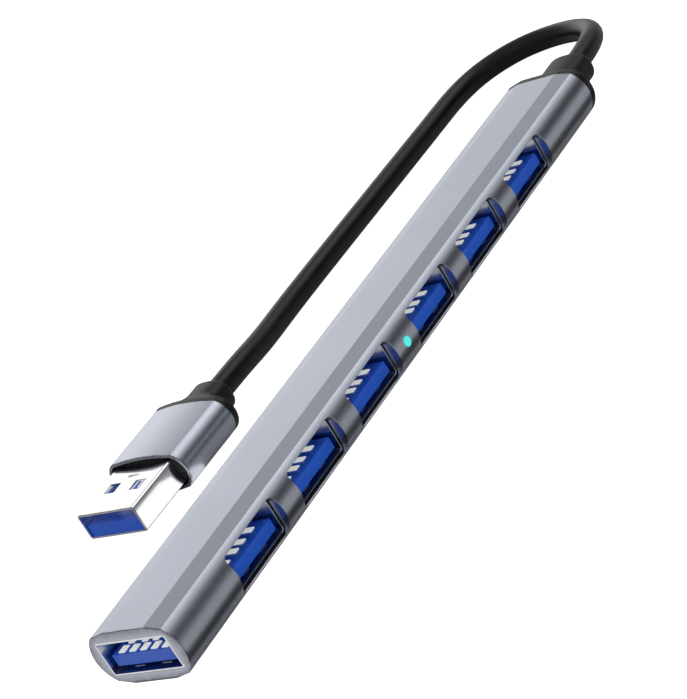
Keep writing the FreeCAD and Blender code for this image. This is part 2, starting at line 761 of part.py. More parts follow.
def build_plug_insulator():
    """Blue insert with four pads near its tip and five springs behind them."""
    insulator = new_body("plug_insulator", PLUG_PLACE)
    corner = "(Sizes.shell_corner - Sizes.shell_wall)"
    block = box_outline(SHELL_INNER_WIDTH, SHELL_INNER_HEIGHT, corner=corner)
    block_length = "Sizes.shell_length - Sizes.insert_block"
    pad(insulator, "block", "XZ", "Sizes.insert_block", block_length, [block])
    insert_width = f"({SHELL_INNER_WIDTH} - 2 * {corner})"
    tongue = box_outline(insert_width, "Sizes.insert_thick", "0", "-Sizes.insert_thick / 2")
    tongue_length = "Sizes.shell_length - Sizes.insert_setback"
    pad(insulator, "tongue", "XZ", "Sizes.insert_setback", tongue_length, [tongue])
    pads, springs = two_rows(
        insulator,
        "plug",
        {"block": "Sizes.insert_block", "end": "Sizes.shell_length", "tip": "Sizes.pad_setback"},
        {"at": CONTACTS, "width": "Sizes.strip_width", "length": "Sizes.pad_length"},
        {
            "at": FAST_OFFSETS,
            "width": "Sizes.fast_run_width",
            "gap": "Sizes.fast_gap",
            "height": "Sizes.spring_height",
        },
    )
    group("plug_contact_pads", pads, PLUG_PLACE)
    group("plug_fast_springs", springs, PLUG_PLACE)


def build_plug_grip():
    """Aluminium sleeve over a moulded core, and the black cap that the cable leaves through."""
    sleeve = new_body("plug_sleeve", PLUG_PLACE)
    outside = lens_outline(*SLEEVE_SIZES)
    inside = shrunk_lens(*SLEEVE_SIZES, "Sizes.sleeve_wall")
    pad(sleeve, "extrusion", "XZ", "Sizes.shell_exposed", "Sizes.sleeve_length", [outside])
    pocket(sleeve, "bore", "XZ", "Sizes.shell_exposed", "Sizes.sleeve_length", [inside])

    core = new_body("plug_core", PLUG_PLACE)
    filling = shrunk_lens(*SLEEVE_SIZES, "(Sizes.sleeve_wall + Sizes.core_clearance)")
    shell_seat = box_outline("Sizes.shell_width", "Sizes.shell_height", corner="Sizes.shell_corner")
    chamber = box_outline(SHELL_INNER_WIDTH, SHELL_INNER_HEIGHT)
    pad(core, "filling", "XZ", CORE_START, f"{SLEEVE_END} - {CORE_START}", [filling])
    pocket(core, "shell_seat", "XZ", CORE_START, f"Sizes.shell_length - {CORE_START}", [shell_seat])
    pocket(core, "wire_chamber", "XZ", "Sizes.shell_length", "Sizes.chamber_length", [chamber])
    pocket(core, "cable_hole", "XZ", CHAMBER_END, f"{SLEEVE_END} - {CHAMBER_END}", [CABLE_SECTION])

    cap = new_body("plug_rear_cap", PLUG_PLACE)
    rim_end = f"({SLEEVE_END} + Sizes.plug_rim)"
    pad(cap, "rim", "XZ", SLEEVE_END, "Sizes.plug_rim", [outside])
    neck_sizes = {
        "base": shrunk_lens(*SLEEVE_SIZES, "Sizes.cap_step"),
        "shoulder": "Sizes.plug_shoulder",
        "width": "Sizes.plug_neck_width",
        "height": "Sizes.plug_neck_height",
        "length": "Sizes.plug_neck",
        "round": "Sizes.plug_neck_round",
    }
    moulded_neck(cap, rim_end, neck_sizes)
    pocket(cap, "cable_hole", "XZ", SLEEVE_END, f"{PLUG_END} - {SLEEVE_END}", [CABLE_SECTION])

    stub = new_body("cable_end_in_plug", PLUG_PLACE)
    pad(stub, "jacket", "XZ", CHAMBER_END, f"{PLUG_END} - {CHAMBER_END}", [CABLE_SECTION])

    above_tails = "Sizes.spring_height + Sizes.wire_diameter / 2"
    wires = [
        rod(
            f"plug_wire_{number}",
            "Sizes.wire_diameter",
            "Sizes.chamber_length",
            (f"{step} * Sizes.wire_spacing", "Sizes.shell_length", above_tails),
        )
        for number, step in enumerate(WIRES)
    ]
    group("cable_wires_in_plug", wires, PLUG_PLACE)


# ---------------------------------------------------------------------------------------- the cable
# Middle points of the cable's route, chosen by hand: round a tight half turn behind the hub, and
# straight back beside it.  The ends, and the points straight out of both necks, follow the necks.
ROUTE = [
    (-3.2, 89.2, 3.6),
    (-9.6, 94.7, 2.5),
    (-17.0, 96.6, 2.02),
    (-23.5, 94.8, 2.02),
    (-28.5, 89.9, 2.02),
    (-30.9, 82.7, 2.02),
    (-31.0, 70.8, 2.02),
    (-31.3, 51.3, 2.02),
    (-31.6, 33.3, 2.02),
    (-31.7, 18.3, 2.02),
    (-30.6, 7.3, 2.4),
]
ARC_SHARE = 0.45
VOLUME_SHARE = 0.01


def cable_points():
    """Whole route, from the hub's neck to the plug's neck."""
    lead = value("Sizes.cable_lead_out")
    start = FreeCAD.Vector(0, value(f"{REAR_END} / 2"), value(HUB_PLACE["z"]))
    yaw = math.radians(value("Sizes.plug_yaw"))
    plug_axis = FreeCAD.Vector(-math.sin(yaw), math.cos(yaw), 0)
    tip = FreeCAD.Vector(*(value(PLUG_PLACE[axis]) for axis in "xyz"))
    finish = tip + plug_axis * value(PLUG_END)
    points = [start, start + FreeCAD.Vector(0, lead, 0)]
    points += [FreeCAD.Vector(*point) for point in ROUTE]
    return points + [finish + plug_axis * lead, finish]


def rounded_path(points):
    """Straight runs joined by tangent arcs, each as large as its two runs allow."""
    edges = []
    position = points[0]
    radii = []
    for before, corner, after in zip(points, points[1:], points[2:]):
        inwards = (corner - before).normalize()
        outwards = (after - corner).normalize()
        half_turn = inwards.getAngle(outwards) / 2
        cut = ARC_SHARE * min((corner - before).Length, (after - corner).Length)
        radius = cut / math.tan(half_turn)
        radii.append(radius)
        arc_start = corner - inwards * cut
        arc_end = corner + outwards * cut
        towards_centre = (outwards - inwards).normalize()
        centre = corner + towards_centre * (radius / math.cos(half_turn))
        middle = centre - towards_centre * radius
        edges.append(Part.LineSegment(position, arc_start).toShape())
        edges.append(Part.Arc(arc_start, middle, arc_end).toShape())
        position = arc_end
    edges.append(Part.LineSegment(position, points[-1]).toShape())
    return Part.Wire(edges), radii


def build_cable():
    """Round cable swept along its route, with its volume compared with section times length."""
    path, radii = rounded_path(cable_points())
    radius = value("Sizes.cable_diameter") / 2
    start = path.Edges[0]
    direction = start.tangentAt(start.FirstParameter)
    section = Part.Wire(Part.makeCircle(radius, start.Vertexes[0].Point, direction))
    cable = doc.addObject("Part::Feature", "usb_cable")
    cable.Shape = path.makePipeShell([section], True, True)
    cable.Label = "usb_cable"
    nodes["usb_cable"] = cable
    expected = math.pi * radius * radius * path.Length
    print(f"cable length {path.Length:.2f} mm, volume {cable.Shape.Volume:.1f} for {expected:.1f}")
    print("cable radii", " ".join(f"{size:.1f}" for size in radii))
    if abs(cable.Shape.Volume - expected) > VOLUME_SHARE * expected:
        raise RuntimeError("usb_cable: the sweep's volume is wrong")


def export_parts():
    """Check every object and every sub-part's shape, then write the STEP files."""
    doc.recompute()
    for item in doc.Objects:
        if "Invalid" in item.State or "Error" in item.State:
            raise RuntimeError(f"{item.Label}: {item.State}")
    for label, piece in nodes.items():
        if piece.Shape.isNull() or not piece.Shape.isValid() or not piece.Shape.Solids:
            raise RuntimeError(f"{label}: shape is not a valid solid")
    os.makedirs("parts", exist_ok=True)
    for label, piece in nodes.items():
        piece.Shape.exportStep(os.path.join("parts", f"{piece.Label}.step"))
        print(f"{label}: {len(piece.Shape.Solids)} solid(s), {piece.Shape.Volume:.2f} mm3")


build_housing()
build_end_port()
for port in range(SIDE_PORTS):
    build_side_port(port)
build_board()
build_electronics()
build_cap()
build_plug_shell()
build_plug_insulator()
build_plug_grip()
build_cable()
export_parts()
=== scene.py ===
"""Slim aluminium USB hub with seven blue ports, a black cable and its plug.

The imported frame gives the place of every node.  New pieces are surfaces worked out on grids, in
millimetres, and turned into metres when their meshes are made.  The hub lies along Y with its end
port at -Y and its six side ports at +X, and stands on the floor at Z = 0.
"""

import logging
import math
from dataclasses import dataclass
from enum import Enum

import bmesh
import bpy
import numpy as np
from mathutils import Matrix, Vector


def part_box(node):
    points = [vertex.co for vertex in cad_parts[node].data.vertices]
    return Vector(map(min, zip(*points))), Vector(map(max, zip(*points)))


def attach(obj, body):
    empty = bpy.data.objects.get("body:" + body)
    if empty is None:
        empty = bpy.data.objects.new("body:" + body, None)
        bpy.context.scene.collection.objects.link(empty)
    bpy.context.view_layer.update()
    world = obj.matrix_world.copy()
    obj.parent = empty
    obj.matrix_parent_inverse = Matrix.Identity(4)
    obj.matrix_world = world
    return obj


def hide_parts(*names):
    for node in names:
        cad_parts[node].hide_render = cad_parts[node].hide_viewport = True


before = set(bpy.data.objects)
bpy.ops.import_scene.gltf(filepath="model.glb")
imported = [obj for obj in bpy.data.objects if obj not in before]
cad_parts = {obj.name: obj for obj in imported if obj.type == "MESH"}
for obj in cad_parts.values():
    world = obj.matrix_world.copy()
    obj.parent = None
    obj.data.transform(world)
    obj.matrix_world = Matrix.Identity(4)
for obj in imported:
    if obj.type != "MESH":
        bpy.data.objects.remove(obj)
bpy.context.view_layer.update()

LOG = logging.getLogger("usb_hub")
MM = 0.001
WELD = 1.0e-6
CORNER_POINTS, SIDE_POINTS, LENS_POINTS, SPRING_POINTS, SHOULDER_POINTS = 7, 33, 25, 17, 15
TUBE_CREASE, SHELL_CREASE, MOULDING_CREASE = 9.0, 30.0, 38.0
BODY = "root"
FRONT = -74.5
MID = 4.4


class Slot(str, Enum):
    """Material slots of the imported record."""

    ALUMINIUM = "anodised_aluminium"
    MOULDING = "black_moulding"
    JACKET = "cable_jacket"
    PLUG_STEEL = "plug_steel"
    PORT_STEEL = "port_steel"
    BLUE = "blue_plastic"
    CONTACTS = "plated_contacts"
    BOARD = "board_laminate"
    RESIN = "chip_resin"
    CAN = "crystal_can"
    CERAMIC = "ceramic_capacitor"
    LAMP = "lamp_package"
    PIPE = "lit_light_pipe"
    WIRE = "wire_insulation"


# ---- finishes
Feed = float | tuple[float, ...] | Vector | bpy.types.NodeSocket  # what an input may get
COARSE_SCALE, COARSE_SHARE = 0.35, 0.4
HANDLING_LEVEL = 0.5
# Noise that breaks up the painted edge shade and highlight along the rims.
PAINTED_EDGE_SCALE, PAINTED_EDGE_FROM, PAINTED_EDGE_TO, PAINTED_EDGE_LEAST = 900.0, 0.35, 0.65, 0.6
COAT_ROUGH = 0.12


class Graph:
    """Adds nodes to a tree.  An input gets a value of its own, or the socket that feeds it."""

    def __init__(self, tree: bpy.types.NodeTree) -> None:
        """Keeps the tree."""
        self.tree = tree

    def feed(self, node: bpy.types.Node, values: dict[str | int, Feed]) -> None:
        """Gives a node's inputs their values or links.

        Args:
            node: The node.
            values: What each input gets, by name or place.
        """
        for label, value in values.items():
            if isinstance(value, bpy.types.NodeSocket):
                self.tree.links.new(value, node.inputs[label])
            else:
                node.inputs[label].default_value = value

    def add(self, kind: str, values: dict[str | int, Feed], **settings: object) -> bpy.types.Node:
        """Adds a node.

        Args:
            kind: Its type, without ShaderNode.
            values: What each input gets, by name or place.
            settings: The node's own settings.

        Returns:
            The node.
        """
        node = self.tree.nodes.new(f"ShaderNode{kind}")
        for label, setting in settings.items():
            setattr(node, label, setting)
        self.feed(node, values)
        return node

    def maths(self, operation: str, first: Feed, second: Feed = 0.0) -> bpy.types.NodeSocket:
        """Adds a Math node and gives its value."""
        return self.add("Math", {0: first, 1: second}, operation=operation).outputs["Value"]

    def noise(self, place: Feed, scale: Feed, **values: float) -> bpy.types.NodeSocket:
        """Adds a noise texture and gives its level."""
        return self.add("TexNoise", {"Vector": place, "Scale": scale, **values}).outputs["Fac"]

    def tint(self, factor: Feed, first: Feed, second: Feed) -> bpy.types.NodeSocket:
        """Mixes two colours.

        Args:
            factor: Share of the second.
            first: The first colour.
            second: The second colour.

        Returns:
            The mixed colour.
        """
        node = self.add("Mix", {"Factor": factor}, data_type="RGBA")
        places = [place for place, socket in enumerate(node.inputs) if socket.type == "RGBA"]
        self.feed(node, dict(zip(places, (first, second))))
        return next(socket for socket in node.outputs if socket.type == "RGBA")


def grouped(
    name: str, inputs: dict[str, float], outputs: tuple[str, ...]
) -> tuple[Graph, bpy.types.bpy_prop_collection, bpy.types.Node]:
    """Makes an empty shader node group whose sockets are all numbers.

    Args:
        name: Name of the group.
        inputs: Each input's default value.
        outputs: Names of the outputs.

    Returns:
        The group's graph, the sockets that bring its inputs, and the node that takes its outputs.
    """
    tree = bpy.data.node_groups.new(name, "ShaderNodeTree")
    for label, default in inputs.items():
        socket = tree.interface.new_socket(label, in_out="INPUT", socket_type="NodeSocketFloat")
        socket.default_value = default
    for label in outputs:
        tree.interface.new_socket(label, in_out="OUTPUT", socket_type="NodeSocketFloat")
    start, end = tree.nodes.new("NodeGroupInput"), tree.nodes.new("NodeGroupOutput")
    return Graph(tree), start.outputs, end


def grain_group() -> bpy.types.NodeTree:
    """Fine surface grain, as height and as a mask: two sizes of noise, added.

    Returns:
        Group with the inputs Grains per metre and Stretch, and the outputs Height and Mask.
    """
    graph, start, end = grouped("surface_grain", {"Grains": 4000.0, "Stretch": 1.0}, ("Height", "Mask"))
    place = graph.add("TexCoord", {}).outputs["Object"]
    along = graph.add("CombineXYZ", {"X": 1.0, "Y": start["Stretch"], "Z": 1.0}).outputs["Vector"]
    scaled = graph.add("VectorMath", {0: place, 1: along}, operation="MULTIPLY").outputs["Vector"]
    fine = graph.noise(scaled, start["Grains"], Detail=3.0)
    coarse = graph.noise(scaled, graph.maths("MULTIPLY", start["Grains"], COARSE_SCALE), Detail=1.0)
    both = graph.add("Mix", {"Factor": COARSE_SHARE, "A": fine, "B": coarse}).outputs["Result"]
    graph.feed(end, {"Height": both, "Mask": coarse})
    return graph.tree


def handling_group() -> bpy.types.NodeTree:
    """Soft patches that fingers leave: large noise, steepened between two levels.

    Returns:
        Group with the inputs Patches per metre and Evenness, and the output Mask.
    """
    graph, start, end = grouped("handling_marks", {"Patches": 60.0, "Evenness": 0.25}, ("Mask",))
    place = graph.add("TexCoord", {}).outputs["Object"]
    patches = graph.noise(place, start["Patches"], Detail=5.0, Distortion=0.6)
    low = graph.maths("SUBTRACT", HANDLING_LEVEL, start["Evenness"])
    high = graph.maths("ADD", HANDLING_LEVEL, start["Evenness"])
    levels = {"Value": patches, "From Min": low, "From Max": high}
    steep = graph.add("MapRange", levels, interpolation_type="SMOOTHSTEP")
    graph.feed(end, {"Mask": steep.outputs["Result"]})
    return graph.tree


def painted_edge_shade_and_highlight_group() -> bpy.types.NodeTree:
    """Painted edge shade and highlight: the pieces' own rim attribute, broken up by noise.

    Returns:
        Group with the input Amount and the output Mask.
    """
    graph, start, end = grouped("painted_edge_shade_and_highlight", {"Amount": 1.0}, ("Mask",))
    rim = graph.add("Attribute", {}, attribute_name="rim").outputs["Fac"]
    place = graph.add("TexCoord", {}).outputs["Object"]
    edge_breakup = graph.noise(place, PAINTED_EDGE_SCALE, Detail=3.0)
    levels = {"Value": edge_breakup, "From Min": PAINTED_EDGE_FROM, "From Max": PAINTED_EDGE_TO, "To Min": PAINTED_EDGE_LEAST}
    uneven = graph.add("MapRange", levels).outputs["Result"]
    marked = graph.maths("MULTIPLY", rim, uneven)
    graph.feed(end, {"Mask": graph.maths("MULTIPLY", marked, start["Amount"])})
    return graph.tree


@dataclass(frozen=True)
class Finish:
    """A surface finish: its colours, how rough it is, its grain, its marks and its painted edge shade or
    highlight.
    """

    slot: Slot
    light: tuple[float, float, float]
    dark: tuple[float, float, float]
    rough: float
    spread: float = 0.06
    metallic: float = 0.0
    grains: float = 4000.0
    stretch: float = 1.0
    depth: float = 0.000004
    patches: float = 60.0
    evenness: float = 0.25
    # edge: colour painted along the rims, painted shade where dark and painted highlight where near white.
    edge: tuple[float, float, float] | None = None
    edge_rough: float = 0.2
    coat: float = 0.0
    specular: float = 0.5
    # glow: emission, a lamp's own light, or painted light on a part that is no lamp.
    glow: float = 0.0

    def material(self, groups: dict[str, bpy.types.NodeTree]) -> bpy.types.Material:
        """Builds the finish's material.

        Args:
            groups: The shared node groups, by name.

        Returns:
            A material named after its slot.
        """
        made = bpy.data.materials.new(f"{self.slot.value}_finish")
        made.use_nodes = True
        graph = Graph(made.node_tree)
        grains = {"Grains": self.grains, "Stretch": self.stretch}
        grain = graph.add("Group", grains, node_tree=groups["surface_grain"]).outputs
        patches = {"Patches": self.patches, "Evenness": self.evenness}
        marks = graph.add("Group", patches, node_tree=groups["handling_marks"]).outputs
        colour = graph.tint(grain["Mask"], (*self.dark, 1.0), (*self.light, 1.0))
        low, high = self.rough - self.spread, self.rough + self.spread
        levels = {"Value": marks["Mask"], "To Min": low, "To Max": high}
        roughness = graph.add("MapRange", levels).outputs["Result"]
        # Painted edge shade or highlight: the edge colour laid along the marked rims.
        if self.edge is not None:
            painted_edge = graph.add("Group", {"Amount": 1.0}, node_tree=groups["painted_edge_shade_and_highlight"]).outputs["Mask"]
            colour = graph.tint(painted_edge, colour, (*self.edge, 1.0))
            smoothed = graph.add("Mix", {"Factor": painted_edge, "A": roughness, "B": self.edge_rough})
            roughness = smoothed.outputs["Result"]
        bump = graph.add("Bump", {"Distance": self.depth, "Height": grain["Height"]})
        looks = {
            "Metallic": self.metallic,
            "Coat Weight": self.coat,
            "Coat Roughness": COAT_ROUGH,
            "Specular IOR Level": self.specular,
            "Base Color": colour,
            "Roughness": roughness,
            "Normal": bump.outputs["Normal"],
        }
        # Glow: the light of the lamp and light pipe, and painted light on the plated contacts.
        if self.glow > 0.0:
            looks |= {"Emission Color": colour, "Emission Strength": self.glow}
        graph.feed(made.node_tree.nodes["Principled BSDF"], looks)
        return made


def grey(level: float) -> tuple[float, float, float]:
    """A neutral colour."""
    return level, level, level


FINISHES = (
    Finish(
        Slot.ALUMINIUM, light=(0.50, 0.53, 0.60), dark=(0.43, 0.46, 0.53), rough=0.32, spread=0.025,
        # edge: painted shade, darker along the tube's and sleeve's ends and round the windows.
        metallic=1.0, grains=6500.0, depth=0.0000025, patches=35.0, edge=(0.20, 0.21, 0.24), edge_rough=0.25,
    ),
    Finish(
        Slot.MOULDING, light=grey(0.008), dark=grey(0.004), rough=0.42, specular=0.3, grains=3800.0,
        depth=0.000020, edge=grey(0.03), edge_rough=0.33,
    ),
    Finish(
        Slot.JACKET, light=grey(0.005), dark=grey(0.002), rough=0.32, specular=0.28, grains=2600.0,
        depth=0.000016,
    ),
    Finish(
        Slot.PLUG_STEEL, light=grey(0.93), dark=(0.88, 0.88, 0.89), rough=0.13, spread=0.04, metallic=1.0,
        # edge: painted shade, dark lines along the shell's ends, latch windows and slot.
        grains=2500.0, stretch=0.08, depth=0.000002, patches=90.0, edge=(0.30, 0.31, 0.33), edge_rough=0.1,
    ),
    Finish(
        Slot.PORT_STEEL, light=(0.78, 0.79, 0.82), dark=(0.66, 0.67, 0.70), rough=0.22, metallic=1.0,
        # edge: painted highlight, a near-white line along both ends of each shell, its mouth among them.
        grains=3000.0, stretch=0.3, depth=0.000003, edge=(0.97, 0.97, 1.0), edge_rough=0.2,
    ),
    Finish(
        Slot.BLUE, light=(0.012, 0.150, 0.90), dark=(0.008, 0.110, 0.74), rough=0.34, grains=3200.0,
        depth=0.000006, patches=200.0, coat=0.15,
    ),
    Finish(
        # glow: painted light; the plated contacts glow though they are no lamp.
        Slot.CONTACTS, light=(0.96, 0.97, 0.88), dark=(0.88, 0.90, 0.79), rough=0.34, glow=0.50,
        grains=5000.0, stretch=0.2, depth=0.000002,
    ),
    Finish(
        Slot.BOARD, light=(0.012, 0.12, 0.045), dark=(0.006, 0.07, 0.025), rough=0.3, grains=2200.0,
        depth=0.00001, coat=0.3,
    ),
    Finish(Slot.RESIN, light=grey(0.04), dark=grey(0.02), rough=0.6, grains=5200.0),
    Finish(
        Slot.CAN, light=(0.75, 0.75, 0.73), dark=(0.6, 0.6, 0.58), rough=0.28, metallic=1.0, stretch=0.1
    ),
    Finish(Slot.CERAMIC, light=(0.5, 0.34, 0.2), dark=(0.4, 0.26, 0.14), rough=0.5, grains=6000.0),
    Finish(Slot.LAMP, light=(0.88, 0.93, 0.9), dark=(0.8, 0.85, 0.82), rough=0.15, glow=0.6),
    Finish(
        Slot.PIPE, light=(0.10, 0.88, 0.82), dark=(0.05, 0.70, 0.68), rough=0.3, grains=1500.0, glow=0.55
    ),
    Finish(
        Slot.WIRE, light=(0.6, 0.09, 0.07), dark=(0.45, 0.06, 0.05), rough=0.3, grains=2500.0, stretch=0.2
    ),
)


def build_finishes() -> dict[Slot, bpy.types.Material]:
    """Builds the shared groups once and every finish's material, by slot."""
    groups = {tree.name: tree for tree in (grain_group(), handling_group(), painted_edge_shade_and_highlight_group())}
    return {finish.slot: finish.material(groups) for finish in FINISHES}


# ---- surface tools
def added(name: str, data: bpy.types.ID) -> bpy.types.Object:
    """Makes an object and links it to the scene.

    Args:
        name: The object's name.
        data: Its mesh, curve, camera or light.

    Returns:
        The object.
    """
    thing = bpy.data.objects.new(name, data)
    bpy.context.scene.collection.objects.link(thing)
    return thing


def stand_in(piece: bpy.types.Object, node: str) -> bpy.types.Object:
    """Puts a piece on the hub's body in place of a CAD node, which it hides.

    Args:
        piece: The new piece.
        node: The CAD node that it stands for.

    Returns:
        The piece.
    """
    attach(piece, BODY)
    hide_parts(node)
    return piece


class Skin:
    """Gathers grids of points, in millimetres, and welds them into one closed mesh."""

    def __init__(self) -> None:
        """Starts with no points."""
        self.points: list[np.ndarray] = []
        self.quads: list[np.ndarray] = []
        self.rims: list[np.ndarray] = []
        self.count = 0

    def grid(
        self,
        points: np.ndarray,
        keep: np.ndarray | None = None,
        wrap: bool = False,
        rim: float | np.ndarray = 0.0,
    ) -> None:
        """Adds a grid: cell (i, j) joins the points (i, j), (i, j+1), (i+1, j+1) and (i+1, j).

        Args:
            points: Array of rows, columns and three coordinates.
            keep: Mask of the cells to keep, or None for all.
            wrap: Whether the last column joins the first.
            rim: How far each point gets the painted edge shade or highlight, from 0 to 1.
        """
        rows, columns = points.shape[:2]
        index = np.arange(rows * columns).reshape(rows, columns) + self.count
        left = index if wrap else index[:, :-1]
        right = np.roll(index, -1, axis=1) if wrap else index[:, 1:]
        cells = np.stack([left[:-1], right[:-1], right[1:], left[1:]], axis=-1)
        self.quads.append(cells.reshape(-1, 4) if keep is None else cells[keep])
        self.points.append(points.reshape(-1, 3))
        self.rims.append(np.broadcast_to(np.asarray(rim, float), (rows, columns)).reshape(-1))
        self.count += rows * columns

    def build(self, name: str, place: Matrix, crease: float) -> bpy.types.Object:
        """Welds the points, turns the faces outwards and smooths between creases.

        Args:
            name: The piece's name.
            place: Where the piece goes, in millimetres.
            crease: Angle in degrees past which an edge stays sharp.

        Returns:
            The finished object, at the origin.
        """
        turn = np.array(place.to_3x3())
        points = np.concatenate(self.points) @ turn.T + np.array(place.translation)
        mesh = bpy.data.meshes.new(name)
        mesh.from_pydata((points * MM).tolist(), [], np.concatenate(self.quads).tolist())
        mark = mesh.attributes.new("rim", "FLOAT", "POINT")
        mark.data.foreach_set("value", np.concatenate(self.rims).astype(np.float32))
        cleaned = bmesh.new()
        cleaned.from_mesh(mesh)
        bmesh.ops.remove_doubles(cleaned, verts=cleaned.verts, dist=WELD)
        flat = [face for face in cleaned.faces if face.calc_area() < WELD * WELD]
        bmesh.ops.delete(cleaned, geom=flat, context="FACES_ONLY")
        bmesh.ops.recalc_face_normals(cleaned, faces=cleaned.faces)
        cleaned.to_mesh(mesh)
        cleaned.free()
        mesh.polygons.foreach_set("use_smooth", np.ones(len(mesh.polygons), bool))
        mesh.set_sharp_from_angle(angle=math.radians(crease))
        return added(name, mesh)


def lifted(loop: np.ndarray, along: float | np.ndarray) -> np.ndarray:
    """Puts a flat outline of (x, z) points at a place along Y, for all of them or for each."""
    y = np.broadcast_to(along, loop.shape[:-1])
    return np.stack([loop[..., 0], y, loop[..., 1]], axis=-1)


def spaced(even: np.ndarray, fixed: np.ndarray, gap: float) -> np.ndarray:
    """Fixed rows, and those of the even rows that are a gap away from each, in rising order."""
    far = np.abs(even[:, None] - fixed[None, :]).min(axis=1) > gap
    return np.unique(np.round(np.concatenate([even[far], fixed]), 6))


def bulge(height: np.ndarray, width: float, crease_width: float, crease_height: float) -> np.ndarray:
    """Half width of a round side: a circle through both creases and the widest point.

    With rise s = (width - crease_width) / 2 and half height h, its radius is (h^2 + s^2) / 2s.

    Args:
        height: Heights above the middle.
        width: Widest width.
        crease_width: Width between the creases.
        crease_height: Height between the creases.

    Returns:
        The half width at each height.
    """
    rise = (width - crease_width) / 2
    radius = ((crease_height / 2) ** 2 + rise**2) / (2 * rise)
    return width / 2 - radius + np.sqrt(np.maximum(radius**2 - height**2, 0.0))


@dataclass(frozen=True)
class Opening:
    """A rounded opening through one wall of an extrusion; axis 0 is a wall across X and 1 across Z."""

    along: float
    across: float
    half_length: float
    half_width: float
    corner: float
    axis: int
    side: int

    def rows(self, grow: float) -> np.ndarray:
        """Rows that its rounded ends need, across the wall.

        Args:
            grow: How much larger the opening is at the surface.

        Returns:
            The rows, from edge to edge.
        """
        half, corner = self.half_width + grow, self.corner + grow
        turn = np.sin(np.linspace(0.0, math.pi / 2, 6))
        reach = half - corner + corner * turn
        return self.across + np.concatenate([-reach[::-1], reach])

    def ends(self, across: np.ndarray, grow: float) -> tuple[np.ndarray, np.ndarray]:
        """Places along Y where its near and far edge cross each row.

        The edge draws in by c - sqrt(c^2 - d^2) where a row is d inside a corner of radius c.

        Args:
            across: The rows' places across the wall.
            grow: How much larger the opening is at the surface.

        Returns:
            The near edge and the far edge.
        """
        half, corner = self.half_width + grow, self.corner + grow
        inside = np.clip(np.abs(across - self.across) - (half - corner), 0.0, corner)
        drawn = corner - np.sqrt(np.maximum(corner**2 - inside**2, 0.0))
        reach = self.half_length + grow - drawn
        return self.along - reach, self.along + reach


Station = tuple[float, Opening | None, int]
END_EDGES, MOUTH_SHARE, RIM_SHARE = 3.0, 0.8, 0.12
TINY = 1.0e-5


